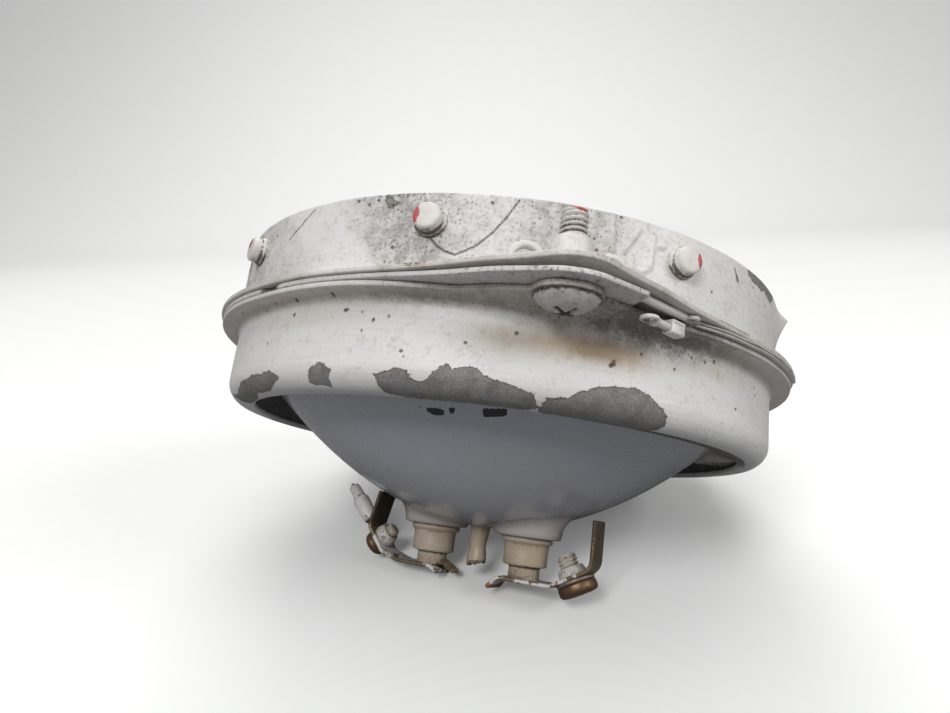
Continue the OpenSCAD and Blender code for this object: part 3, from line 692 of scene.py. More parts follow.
def mirror_coat(tree):
    """The bright coat inside the bowl, with a faint haze."""
    haze = tree.noise(0.09, 3, 0.6)
    colour = tree.mix(haze.fade(0.45, 0.8), (0.86, 0.87, 0.88), (0.74, 0.75, 0.77))
    return {"Base Color": colour, "Metallic": 1.0, "Roughness": haze * 0.16}


def old_rubber(tree):
    """Matt rubber with dust on it."""
    look = bpy.context.scene.glass_look
    fine = tree.noise(1.1, 5, 0.65)
    colour = tree.mix(fine.fade(0.35, 0.75).scaled(0.4, 0.35), look.rubber, look.dust)
    return {"Base Color": colour, "Roughness": 0.8, "Normal": fine.relief(0.15)}


def insulation(tree):
    """White wire insulation, grimy in places."""
    paint = bpy.context.scene.paint_look
    fine = tree.noise(0.9, 4, 0.6)
    tree.colour = tree.mix(fine.fade(0.5, 0.75) * 0.5, bpy.context.scene.glass_look.wire, paint.stain)
    tree.coat(tree.crust_and_shade(fine), paint.dirt)
    return {"Base Color": tree.colour, "Roughness": 0.45, "Normal": fine.relief(0.1)}


def finish(name):
    """The finishes by name. Each is made on its first use."""
    metals = bpy.context.scene.metal_look

    def metal(clean, *amounts, film=metals.tarnish):
        return lambda tree: bare_metal(tree, clean, film, *amounts)

    makers = {
        "Old white paint": old_paint,
        "Rivet paint": lambda tree: old_paint(tree, 0.4),
        "Cream paint": lambda tree: old_paint(tree, 1.6, True),
        "Dull alloy": metal(metals.alloy, 0.5, 0.6, 0.7, film=(0.16, 0.15, 0.145)),
        "Stained steel": metal(metals.steel, 0.4, 0.8, 0.5),
        "Tarnished brass": metal(metals.brass, 0.36, 0.8, 0.6, 0.2),
        "Bare brass": metal(metals.brass, 0.4, 0.8, 0.7),
        "Brown screw": metal(metals.brown, 0.34, 0.85, 0.45),
        "Filament wire": metal(metals.tungsten, 0.4, 1.0, 0.1),
        "Silvered bowl": silvered_bowl,
        "Clear glass": clear_glass,
        "Mirror coat": mirror_coat,
        "Old rubber": old_rubber,
        "Insulation": insulation,
    }
    return material(name, makers[name])


# The pressed rings

def around(fine=0.3, coarse=1.5, front=86.0):
    """Turns round the ring in degrees, close together round the first ear."""
    return np.concatenate([np.arange(-front, front, fine), np.arange(front, 360 - front, coarse)])


def ear_reach(turn, flange, tip, circle, foot=0.0):
    """How far a flange reaches at each turn: its radius, or out to the tip of the nearest of three ears."""
    a = np.radians(np.abs((turn + 60) % 120 - 60))
    over_tip = circle * np.cos(a) + np.sqrt(np.maximum(tip ** 2 - (circle * np.sin(a)) ** 2, 0))
    if foot:
        start, end = math.atan2(tip, circle), math.radians(foot)
        x, y = flange * math.sin(end), flange * math.cos(end)
        dx, dy = tip - x, circle - y
        side = (x * dy - y * dx) / (np.sin(a) * dy - np.cos(a) * dx)
    else:
        end = math.acos((flange - tip) / circle)
        start = math.atan2(tip * math.sin(end), circle + tip * math.cos(end))
        side = flange / np.cos(np.minimum(end - a, 1.4))
    return np.where(a < start, over_tip, np.where(a < end, side, flange))


def swept(reach, profile):
    """Radii and heights of a ring, from points of (base radius, share of the reach, offset, height)."""
    base, share, offset, level = np.array(profile).T
    radius = base * (1 - share) + reach[:, None] * share + offset
    return radius, np.broadcast_to(level, radius.shape).copy()


def flange(inner, low, high, steps=8, round_r=0.22):
    """Profile of a flange, over its top, round its edge and back under it."""
    shares = np.linspace(0, 1, steps + 1)
    top = [(inner, s, -round_r * s, high) for s in shares]
    corner = [(inner, 1, -round_r * (1 - math.sin(a)), high - round_r * (1 - math.cos(a)))
              for a in (0.5, 1.0, 1.57)]
    under = [(b, s, o, low + high - z) for b, s, o, z in (top + corner)[::-1]]
    return top + corner + under


def edge_wave(turn, radius):
    """The gentle bends that the three flanges share between their ears."""
    away = np.abs((turn + 60) % 120 - 60)
    circle = np.stack([60 * np.sin(np.radians(turn)), 60 * np.cos(np.radians(turn)), 0 * turn], axis=-1)
    bend = 0.3 * ripple(circle, 17.0, 3) * soft_step(away, 7, 16)
    return bend[:, None] * soft_step(radius, 60.2, 63.0)


FIRST_EAR_DROP = 0.85


def drop_first_ear(turn, radius):
    """How far the two rear flanges are bent down at the first ear, away from the mounting flange."""
    return -FIRST_EAR_DROP * bell(turn, 0, 11)[:, None] * soft_step(radius, 60.5, 65)


def lift_first_ear(turn, radius):
    """How far the mounting flange is bent up at the first ear's rim and pulled away beside it."""
    rim = 0.35 * bell(turn, 1.5, 7.5)[:, None] * soft_step(radius, 67, 74)
    side = (0.35 * bell(turn, -13, 9) + 0.3 * bell(turn, 12, 6))[:, None] * soft_step(radius, 61.5, 65)
    return rim + side


def ring_shape(turn, radius, level, shape=None, close=True, **marks):
    """Adds the swept grid to a shape, with its marks."""
    points = on_cylinder(np.broadcast_to(turn[:, None], radius.shape), radius, level).reshape(-1, 3)
    faces = grid_faces(*radius.shape, True, True) if close else capped(*radius.shape)
    return (shape or Shape()).add((points, faces), **{name: np.ravel(value) for name, value in marks.items()})


# Raised lines of old paint on the band, dark cracks and dots, and flaked patches, as (turn, height)
RAISED = [[(7.3, 16.2), (7.9, 9.9)],
          [(12.0, 14.6), (9.6, 10.3)],
          [(14.6, 14.0), (14.2, 8.6)],
          [(11.0, 9.6), (11.2, 8.0), (12.4, 7.5), (13.5, 8.0), (13.7, 9.4)],
          [(15.4, 12.6), (16.6, 12.9)]]
BAND_CRACKS = [[(-43.1, 15.6), (-44.6, 14.5), (-46.0, 13.2), (-47.9, 12.0), (-49.1, 10.9)],
               [(-19.7, 8.3), (-18.4, 7.0), (-17.2, 6.2), (-15.5, 5.7)],
               [(-15.5, 5.7), (-12.6, 7.4), (-10.4, 9.8), (-8.6, 12.6), (-7.0, 15.7)],
               [(33.0, 14.6), (33.5, 13.8), (34.3, 12.6)]]
BAND_DOTS = [(33.9, 13.2, 0.25), (34.1, 12.7, 0.2), (8.8, 15.9, 0.1), (5.3, 9.5, 0.1), (-25.7, 6.8, 0.16),
             (-26.8, 14.2, 0.14), (-29.5, 15.2, 0.15), (-31.2, 14.6, 0.12), (-33.4, 15.5, 0.15),
             (-66.0, 6.1, 0.25), (-62.1, 4.4, 0.2), (-54.0, 12.8, 0.1), (46.2, 12.1, 0.1),
             (27.0, 8.2, 0.1), (-11.0, 14.8, 0.15)]
BAND_PATCHES = [[(37.4, 16.9), (37.7, 15.0), (39.6, 14.6), (41.5, 14.5), (43.5, 14.0), (45.4, 14.9),
                 (48.0, 14.1), (49.7, 14.0), (51.4, 15.2), (51.8, 16.9)],
                [(-28.4, 15.4), (-27.2, 15.8), (-26.0, 14.6), (-26.6, 13.6), (-27.8, 14.4)],
                [(-72.5, 11.0), (-70.2, 12.1), (-67.8, 11.0), (-69.0, 9.4), (-71.6, 9.2)],
                [(112, 16.9), (113, 13.8), (118, 13.1), (124, 14.4), (127, 16.9)],
                [(205, 16.9), (206, 14.9), (211, 14.2), (216, 15.4), (218, 16.9)]]


# The corner of the band's sheet that is pulled out: its turn, lower end, peak and upper end, and how far out
PULL_TURN, PULL_LOW, PULL_PEAK, PULL_TOP, PULL_OUT = 60.6, 7.3, 14.1, 17.2, 2.5


def band_swell(turn, level):
    """How far the band stands out of round: soft dents, and the corner pulled out at the lost rivet."""
    dents = 0.16 * ripple_on(turn, 60.0, level, 19.0, 1) + 0.05 * ripple_on(turn, 60.0, level, 6.0, 2)
    across = np.exp(-np.abs(turn - PULL_TURN) / np.where(turn < PULL_TURN, 2.6, 0.5))
    rising = np.clip((level - PULL_LOW) / (PULL_PEAK - PULL_LOW), 0, 1) ** 1.6
    falling = np.clip((PULL_TOP - level) / (PULL_TOP - PULL_PEAK), 0, 1) ** 1.5
    pulled = PULL_OUT * across * np.where(level < PULL_PEAK, rising, falling)
    return dents * soft_step(level, 2.5, 5) * (1 - across) + pulled


def mounting_ring():
    """The mounting ring: a tall band with rivets, a flange with three ears, and old paint all over."""
    ring = in_mm("ring_sizes")
    low, top = 1.0, 1.0 + ring.sheet
    inner = ring.band_r - ring.sheet
    outside = [(ring.band_r, 0, 0, z) for z in np.arange(ring.band_top - 0.2, top + 1.05, -0.3)]
    fillet = [(ring.band_r + 1 + math.cos(a), 0, 0, top + 1 + math.sin(a))
              for a in np.radians(np.arange(180, 270, 18))]
    inside = [(inner, 0, 0, z) for z in np.linspace(low + 0.2, ring.band_top - 0.2, 12)]
    rim = [(inner + 0.15, 0, 0, ring.band_top), (ring.band_r - 0.15, 0, 0, ring.band_top)]
    plate = flange(ring.band_r + 1, low, top)
    profile = outside + fillet + plate + [(inner + 0.4, 0, 0, low)] + inside + rim
    turn = around()
    radius, level = swept(ear_reach(turn, ring.mount_flange_r, ring.mount_tip_r, ring.ear_circle_r), profile)
    on_band = radius < ring.band_r + 0.01
    spread = np.broadcast_to(turn[:, None], radius.shape)
    radius += np.where(on_band, band_swell(spread, level), 0)
    level += np.where(on_band, 0, edge_wave(turn, radius) + lift_first_ear(turn, radius))
    across, up = np.radians(spread) * ring.band_r, level
    face = np.zeros(radius.shape, bool)
    face[:, :len(outside)] = True
    raised = to_lines(across, up, ring.band_r, RAISED)
    radius += np.where(face, 0.42 * np.exp(-(raised / 0.38) ** 2), 0)
    cracks = np.minimum(to_lines(across, up, ring.band_r, BAND_CRACKS),
                        to_dots(across, up, ring.band_r, BAND_DOTS))
    flaked = in_patches(across, up, ring.band_r, BAND_PATCHES)
    edge_strip = spot(spread, radius, (26.5, 63.2), (4.2, 0.9))
    on_top = ~on_band & (level > top - 0.5)
    bare = np.where(face, flaked, np.where(on_top, edge_strip, NO_MARKS["bare"]))
    joint = bell(level, top + 0.2, 1.6) * (0.75 * bell(spread, -49, 9) + 0.6 * bell(spread, -20, 8)
                                          + 0.45 * bell(spread, 3, 9) + 0.5 * bell(spread, 24, 12) + 0.3)
    joint *= (1 - 0.5 * soft_step(radius, 60.8, 62.2)) * (1 + 0.3 * ripple_on(spread, radius, level, 3.0, 12))
    beside_lines = 0.35 * bell(raised, 0.62, 0.22)
    near_rim = 0.2 * bell(level, ring.band_top, 2.2) * (bell(spread, -30, 12) + 0.5)
    grey_left = bell(spread, -62, 16) * (0.5 + 0.3 * ripple_on(spread, radius, level, 4.0, 9))
    slant = spread + (level - 9) * 0.9
    clean = soft_step(slant, -46, -43) * (1 - soft_step(slant, -34, -31))
    grimy = 0.12 + 0.8 * grey_left + 0.8 * bell(spread, -23, 13) + 0.7 * bell(spread, 1, 11)
    grimy = np.where(face, np.clip(grimy, 0, 1), 0.15) * (1 - 0.9 * clean)
    blotch = ripple_on(spread, radius, level, 2.2, 14)
    stain = np.where(face, 0.2 * grey_left + 0.06, 0.15 + 0.3 * np.maximum(blotch, 0)) * (1 - 0.9 * clean)
    shape = ring_shape(turn, radius, level, bare=bare, crack=np.where(face, cracks, 9), grey=grimy,
                       soil=joint + np.where(face, near_rim + 0.2 * grimy + beside_lines, 0) * (1 - clean),
                       stain=stain + 0.8 * joint)
    shape.piece("mounting_ring_sheet", ["Old white paint"], replaces=["mounting_ring"], slot="ring_paint")


def clamp_ring():
    """The thin split ring between the flanges, with the round rod and small eye that bridge its split."""
    ring = in_mm("ring_sizes")
    split_from, split_to, strap_end = 9.5, 19.5, 58
    turn = np.concatenate([np.arange(split_to, 86, 0.3), np.arange(86, 274, 1.5),
                           np.arange(274, 360 + split_from, 0.3)])
    profile = flange(57.3, 0.1, 0.9, 8, 0.2)
    radius, level = swept(ear_reach(turn, ring.clamp_flange_r, ring.clamp_tip_r, ring.ear_circle_r), profile)
    signed = (turn + 180) % 360 - 180
    radius -= 0.9 * bell(signed, -47.6, 2.6)[:, None] * soft_step(radius, 61, 62.5)
    radius = np.where(turn[:, None] < strap_end, np.minimum(radius, ring.clamp_flange_r), radius)
    level += edge_wave(signed, radius) + drop_first_ear(signed, radius)
    soil = 0.6 * bell(signed, -47.6, 3.5) + 0.22 + 0.12 * bell(signed, 0, 40)
    shape = ring_shape(turn, radius, level, close=False, soil=np.broadcast_to(soil[:, None], radius.shape),
                       stain=0.12, grey=0.2)
    rod = [(10.2, -66.5, 0.5), (11.9, -65.6, 0.48), (15.5, -63.4, 0.45), (19.6, -60.85, 0.45)]
    shape.add(tube(curve_through(rod, 10), 0.62, 16), stain=0.15)
    angle = full_turn(28)
    eye = np.stack([20.9 + 1.0 * np.cos(angle), -60.2 + 1.0 * np.sin(angle), 0.48 + 0 * angle], axis=1)
    shape.add(tube(eye, 0.36, 12, closed=True), stain=0.3)
    knob = turned([(0, -0.75), (0.75, -0.6), (1.0, -0.1), (1.0, 0.2), (0.7, 0.6), (0, 0.75)], 24)
    shape.add(moved(knob, Matrix.Translation((10.3, -66.4, 0.55))), stain=0.2)
    shape.piece("split_clamp_ring", ["Old white paint"], replaces=["clamp_ring"], slot="dull_alloy")


def edge_strap():
    """A thin strap folded back on itself like a hairpin, over the clamp ring's right edge."""
    radius = 63.3
    start, end = 20.8, 57.0
    run = math.radians(end) * radius
    fold = math.radians(start) * radius
    upper = [(x, 0.66 + 0.06 * math.sin(x * 0.7)) for x in np.linspace(run, fold, 90)]
    bend = [(fold - 0.29 * math.sin(a), 0.37 + 0.29 * math.cos(a))
            for a in np.linspace(0.3, math.pi - 0.3, 7)]
    lower = [(x, 0.08 + 0.05 * math.sin(x * 0.45 + 1)) for x in np.linspace(fold, run, 90)]

    def place(x, across, y):
        return on_cylinder(np.degrees(x / radius), radius + across, y)

    points, faces = sheet_along(upper + bend + lower, 0.24, -0.42, 0.34, place)
    turns = np.degrees(np.arctan2(points[:, 0], -points[:, 1]))
    points[:, 2] += edge_wave(turns, np.full((len(points), 1), 63.2))[:, 0]
    Shape().add((points, faces), stain=0.3, soil=0.32).piece("folded_edge_strap", ["Old white paint"],
                                                   replaces=["edge_strap"], slot="ring_paint")


def sheet_along(path, thickness, near, far, place, rim=0.1, steps=4):
    """A sheet along a path seen from the side. Near and far are its edges; place maps (along, across, up)."""
    path = np.array(path, float)
    ahead = np.gradient(path, axis=0)
    ahead /= np.linalg.norm(ahead, axis=1)[:, None]
    side = np.stack([-ahead[:, 1], ahead[:, 0]], axis=1)
    rim = min(rim, thickness * 0.45)
    half = thickness / 2
    across = np.linspace(near + rim, far - rim, steps + 1)
    ring = [(a, half) for a in across] + [(far, half - rim), (far, rim - half)]
    ring += [(a, -half) for a in across[::-1]] + [(near, rim - half), (near, half - rim)]
    spread, lift = np.array(ring).T
    x = path[:, 0][:, None] + side[:, 0][:, None] * lift
    y = path[:, 1][:, None] + side[:, 1][:, None] * lift
    points = place(x, np.broadcast_to(spread, x.shape), y).reshape(-1, 3)
    return points, capped(len(path), len(ring))


# Flaked patches on the rounded rear lip, and dots and crusts on the wall, as (turn, distance along the
# sheet from where the lip starts)
LIP_PATCHES = [[(-25.8, -1.7), (-22.2, -0.55), (-20.6, -0.75), (-20.2, -1.95), (-18.7, -2.45),
                (-17.5, -2.2), (-16.6, -0.75), (-14.7, 0.65), (-13.7, -0.05), (-12.6, 0.55), (-10.2, 0.5),
                (-7.8, -1.0), (-4.8, -1.35), (-2.0, -2.35), (-0.8, -3.9), (-0.4, -5.0), (-2.5, -7.6),
                (-22.0, -7.6), (-24.6, -5.0)],
               [(-0.2, -4.3), (0.5, -2.8), (3.5, -2.1), (4.8, -0.8), (8.1, 0.35), (13.4, 1.2),
                (16.7, 0.25), (19.9, -2.0), (20.6, -3.8), (20.4, -5.6), (17.5, -7.6), (0.8, -7.6),
                (-0.2, -6.0)],
               [(-74.0, -3.4), (-69.1, -4.0), (-63.0, -2.7), (-57.1, -1.8), (-48.7, -1.15), (-46.5, -2.1),
                (-45.5, -2.5), (-48.1, -3.15), (-52.3, -5.2), (-57.9, -5.3), (-66.0, -7.6),
                (-76.0, -7.6)],
               [(-38.2, -1.3), (-36.1, 0.0), (-33.8, -1.3), (-34.1, -2.25), (-34.2, -4.65),
                (-39.0, -3.55)],
               [(96, -1.0), (104, 0.4), (110, -0.9), (121, -0.2), (128, -2.0), (126, -7.6), (97, -7.6)],
               [(171, -1.4), (176, 0.2), (184, -1.6), (183, -4.6), (173, -4.9)],
               [(222, -2.0), (230, -0.4), (243, -1.2), (252, -0.2), (260, -3.0), (256, -7.6),
                (224, -7.6)]]
WALL_DOTS = [(-43.1, 10.7, 0.16), (-44.3, 8.5, 0.18), (-34.7, 10.9, 0.14), (-62.6, 11.2, 0.14),
             (-21.8, 2.1, 0.14), (-5.1, 6.5, 0.16), (29.3, 8.9, 0.2), (27.1, 8.3, 0.14),
             (44.0, 6.6, 0.16), (-12.3, 4.2, 0.1), (9.4, 3.9, 0.2), (-51.0, 4.0, 0.1), (20.5, 5.6, 0.1),
             (-29.0, 5.2, 0.08), (36.2, 2.4, 0.12)]
WALL_CRUSTS = [(-32.6, 8.6, 1.0), (-27.3, 6.9, 0.9), (-24.7, 7.6, 0.8), (-35.0, 7.4, 0.6),
               (-29.4, 8.2, 0.7), (9.8, 4.4, 1.2), (-0.5, -4.6, 0.5)]


def lamp_ring():
    """The rear ring: an eared flange, a plain wall and a rounded lip whose paint has flaked to grey."""
    ring = in_mm("ring_sizes")
    lip_level = ring.lip_r - ring.depth
    lip_c = ring.wall_r - ring.lip_r
    fillet_r = 2.0
    under, top = -ring.sheet, 0.0
    flat = [(x, 0, 0, -ring.depth) for x in np.linspace(ring.rear_hole_r + 0.15, lip_c, 5)]
    lip = [(lip_c + ring.lip_r * math.cos(a), 0, 0, lip_level + ring.lip_r * math.sin(a))
           for a in np.radians(np.arange(-86, 0, 4))]
    wall = [(ring.wall_r, 0, 0, z) for z in np.arange(lip_level, under - fillet_r, 0.3)]
    fillet = [(ring.wall_r + fillet_r * (1 + math.cos(a)), 0, 0, under - fillet_r + fillet_r * math.sin(a))
              for a in np.radians(np.arange(180, 91, -12))]
    plate = flange(ring.wall_r + fillet_r, under, top)[::-1]
    inner_r = ring.wall_r - ring.sheet
    inside = [(inner_r, 0, 0, z) for z in np.linspace(-0.1, lip_level, 8)]
    bend_r, floor = ring.lip_r - ring.sheet, ring.sheet - ring.depth
    bend = [(lip_c + bend_r * math.cos(a), 0, 0, lip_level + bend_r * math.sin(a))
            for a in np.radians(np.arange(-10, -90, -12))]
    back = [(ring.rear_hole_r + 0.15, 0, 0, floor), (ring.rear_hole_r, 0, 0, floor - 0.15),
            (ring.rear_hole_r, 0, 0, 0.15 - ring.depth)]
    profile = flat + lip + wall + fillet + plate + inside + bend + back
    turn = around()
    reach = ear_reach(turn, ring.lamp_flange_r, ring.lamp_tip_r, ring.ear_circle_r, 14.0)
    radius, level = swept(reach, profile)
    spread = np.broadcast_to(turn[:, None], radius.shape)
    dents = 0.14 * ripple_on(spread, radius, level, 24.0, 5) + 0.05 * ripple_on(spread, radius, level, 7.0, 6)
    radius += dents * soft_step(-level, 1.5, 4) * (radius > 56)
    level += edge_wave(turn, radius) + drop_first_ear(turn, radius)
    run = np.full(len(profile), 40.0)
    run[:len(flat)] = -ring.lip_r * math.pi / 2 - (lip_c - np.array([p[0] for p in flat]))
    start = len(flat)
    run[start:start + len(lip)] = np.radians(np.arange(-86, 0, 4)) * ring.lip_r
    start += len(lip)
    run[start:start + len(wall) + len(fillet)] = [p[3] - lip_level for p in wall + fillet]
    run = np.broadcast_to(run, radius.shape)
    across = np.radians(spread) * ring.wall_r
    outside = run < 30
    flaked = in_patches(across, run, ring.wall_r, LIP_PATCHES)
    dots = to_dots(across, run, ring.wall_r, WALL_DOTS)
    crusts = [bell(to_dots(across, run, ring.wall_r, [(t, y, 0)]), 0, size) for t, y, size in WALL_CRUSTS]
    soil = 0.62 * np.max(crusts, axis=0)
    # A darker band just under the flange, strongest at a turn of about -30 degrees.
    soil += np.where(outside, 0.22 * bell(run, 10.5, 1.6) * (0.5 + bell(spread, -30, 20)), 0)
    # Painted shade with some dirt along the lip's rear edge, where it turns in towards the bowl, strongest
    # about 36 degrees past the first ear.
    soil += np.where(outside, (1 - soft_step(run, -6.7, -5.7)) * (bell(spread, 36, 34) + 0.25), 0)
    # Painted shade on the rear flange's edge beside the pull pin.
    soil += 0.5 * bell(spread, 14, 6) * bell(level, -1.2, 0.8) * soft_step(radius, 61.5, 63.5)
    # Tan stain and painted shade on the wall below the first ear and round the flange's underside; the grey
    # humps below paint shade under the ear and the flange.
    stain = humps(spread, level, (0.55, -6, 12, -6.6, 3.2), (1.3, 8, 12, -6.0, 3.2),
                  (0.35, 30, 16, -4.4, 3.0),
                  (0.2, -40, 26, -4, 3)) + 0.5 * bell(level, -1.4, 1.4) + 0.02
    grey = np.minimum(humps(spread, level, (2.0, 16, 18, -1.4, 3.8)), 1.6)
    grey += humps(spread, level, (0.55, -18, 22, -1.2, 1.8))
    shape = ring_shape(turn, radius, level, bare=np.where(outside, flaked, -9),
                       crack=np.where(outside, dots, 9),
                       soil=soil, stain=stain, grey=grey)
    shape.piece("rear_lamp_ring", ["Old white paint"], replaces=["lamp_ring"], slot="ring_paint")


# The sealed lamp

# Black patches on the bowl, as outlines of (turn, radius), and about how far out they lie
BOWL_MARKS_AT = 45.0
BOWL_MARKS = [[(-22.1, 44.4), (-20.0, 44.5), (-18.0, 44.3), (-18.1, 43.5), (-20.1, 43.3), (-21.9, 43.7)],
              [(-16.8, 44.9), (-15.5, 44.8), (-15.8, 44.0), (-16.7, 43.9)],
              [(-9.6, 45.2), (-4.4, 45.7), (-4.4, 44.5), (-9.1, 43.9)],
              [(-23.7, 44.6), (-23.3, 44.6), (-23.3, 44.3), (-23.7, 44.3)]]


def bowl_level(radius, lamp):
    """Height of the bowl's outside at a radius: a paraboloid through its vertex and its shoulder."""
    return radius ** 2 * (lamp.bowl_depth - lamp.shoulder_drop) / lamp.shoulder_r ** 2 - lamp.bowl_depth


def terminal_place(side):
    """Frame of one terminal: its origin on the terminal's own axis, X pointing away from the lamp's axis."""
    sizes = bpy.context.scene.terminal_sizes
    turn = sizes.turn + (0 if side > 0 else math.pi)
    return Matrix.Rotation(turn, 4, "Z") @ Matrix.Translation((sizes.offset / MM, 0, 0))


def glass_bowl():
    """The silvered bowl with its two bosses and its locating lug."""
    lamp = in_mm("lamp_sizes")
    terminals = in_mm("terminal_sizes")
    rim_in = lamp.glass_r - 3.3
    outer = np.concatenate([np.arange(1.0, 30, 1.2), np.arange(30, 53, 0.35),
                            np.linspace(53, lamp.shoulder_r, 5)])
    profile = [(r, 0, 0, bowl_level(r, lamp)) for r in outer]
    shoulder = bowl_level(lamp.shoulder_r, lamp)
    profile += [(lamp.shoulder_r + 0.6, 0, 0, shoulder + 0.5), (lamp.glass_r, 0, 0, shoulder + 1.4),
                (lamp.glass_r, 0, 0, 0.1), (lamp.glass_r - 0.3, 0, 0, 0.5), (rim_in, 0, 0, 0.5)]
    profile += [(r, 0, 0, bowl_level(r, lamp) + lamp.glass_t) for r in np.linspace(rim_in, 1.0, 40)]
    turn = around(0.5, 2.0)
    radius, level = swept(np.zeros(len(turn)), profile)
    spread = np.broadcast_to(turn[:, None], radius.shape)
    outside = np.arange(len(profile)) < len(outer)
    black = in_patches(np.radians(spread) * BOWL_MARKS_AT, radius, BOWL_MARKS_AT, BOWL_MARKS)
    soil = np.zeros(radius.shape)
    for side in (-1, 1):
        x, y, _ = terminal_place(side).translation
        place = on_cylinder(spread, radius, level)
        soil += 0.5 * bell(np.hypot(place[..., 0] - x, place[..., 1] - y), 9.0, 4.5)
    # Darker near the rim on one side, where the bowl runs in under the rear lip.
    soil += 0.45 * bell(spread, 62, 22) * bell(radius, 52, 5)
    soil = np.where(outside, soil, 0)
    bowl = ring_shape(turn, radius, level, crack=np.where(outside, -black, 9), soil=soil, stain=1.4 * soil)
    bowl.add(lug_block(), soil=0.25, stain=0.8)
    for side in (-1, 1):
        bowl.add(boss(side, lamp, terminals), soil=0.3, stain=0.75)
    bowl.piece("silvered_bowl", ["Silvered bowl"], replaces=["glass_bowl"], slot="bowl_glass")


def lug_block():
    """The locating lug: a rounded bar moulded on the shoulder of the bowl."""
    turn, width, low, high, out = 75.5, 12.0, -14.5, -11.3, 55.3
    outline = [(x, y) for x, y in rounded([(-width / 2, -out + 0.6, 1.2, 1.5), (0, -out, 12, 1.5),
                                           (width / 2, -out + 0.6, 1.2, 1.5), (width / 2, -46.5, 0, 2.0),
                                           (-width / 2, -46.5, 0, 2.0)])]
    return moved(slab(outline, low, high, 0.5), turned_by(turn))


def boss(side, lamp, terminals, sides=72):
    """A glass boss that flows out of the bowl round one terminal."""
    x, y = terminal_place(side).translation[:2]
    angles = full_turn(sides)
    floor = -terminals.boss_level
    start = floor + 0.45

    def circle(r, level):
        return np.stack([x + r * np.cos(angles), y + r * np.sin(angles), level + 0 * angles], axis=1)

    rows = [circle(6.4, floor), circle(7.0, floor + 0.12), circle(7.3, start)]
    for share in np.linspace(0.15, 1, 9):
        row = circle(7.35 + 2.5 * share ** 2, 0)
        surface = bowl_level(np.hypot(row[:, 0], row[:, 1]), lamp) + 0.05
        row[:, 2] = start + (surface - start) * (1 - (1 - share) ** 1.7)
        rows.append(row)
    rows.append(circle(9.3, rows[-1][:, 2] + 0.9))
    return np.vstack(rows), capped(len(rows), sides)


def slab(outline, low, high, rim):
    """A flat plate with softened edges, from its outline."""
    outline = np.array(outline, float)
    ahead = np.roll(outline, -1, axis=0) - np.roll(outline, 1, axis=0)
    ahead /= np.linalg.norm(ahead, axis=1)[:, None]
    area = np.sum(outline[:, 0] * np.roll(outline[:, 1], -1) - np.roll(outline[:, 0], -1) * outline[:, 1])
    inward = np.stack([-ahead[:, 1], ahead[:, 0]], axis=1) * (1 if area > 0 else -1)
    layers = []
    for inset, level in ((rim, low), (rim * 0.3, low + rim * 0.3), (0, low + rim), (0, high - rim),
                         (rim * 0.3, high - rim * 0.3), (rim, high)):
        layers.append(np.column_stack([outline + inward * inset, np.full(len(outline), level)]))
    return np.vstack(layers), capped(len(layers), len(outline))


def lens():
    """The clear front lens, with its thick moulded rim."""
    lamp = in_mm("lamp_sizes")
    lens_r, rim_in, weld = lamp.glass_r - 2.7, lamp.glass_r - 3.3, 0.52
    big = (lens_r ** 2 + lamp.lens_rise ** 2) / (2 * lamp.lens_rise)
    small = big - lamp.lens_t
    top = lamp.rim_top + lamp.lens_rise

    def dome(r, reach):
        angles = np.linspace(0, math.asin(reach / r), 40)
        return [(r * math.sin(a), top - big + r * math.cos(a)) for a in angles]

    rim = [(lens_r + 0.5, lamp.rim_top - 0.06), (lamp.glass_r - 0.6, lamp.rim_top - 0.06),
           (lamp.glass_r - 0.18, lamp.rim_top - 0.24), (lamp.glass_r, lamp.rim_top - 0.66),
           (lamp.glass_r, weld + 0.3), (lamp.glass_r - 0.3, weld), (rim_in, weld)]
    Shape().add(turned(dome(big, lens_r) + rim + dome(small, rim_in)[::-1], 240)).piece("front_lens",
                                                                                        ["Clear glass"],
                                                                                        replaces=["lens"],
                                                        slot="clear_glass")


def reflector():
    """The mirror coat that lines the bowl."""
    lamp = in_mm("lamp_sizes")
    lift = lamp.glass_t + 0.05
    radii = np.linspace(0, (lamp.glass_r - 3.3) * 21 / 22, 60)
    lower = [(r, bowl_level(r, lamp) + lift) for r in radii]
    upper = [(r, bowl_level(r, lamp) + lift + 0.25) for r in radii[::-1]]
    Shape().add(turned(lower + upper, 240)).piece("mirror_lining", ["Mirror coat"], replaces=["reflector"],
                                                  slot="mirror_coat")


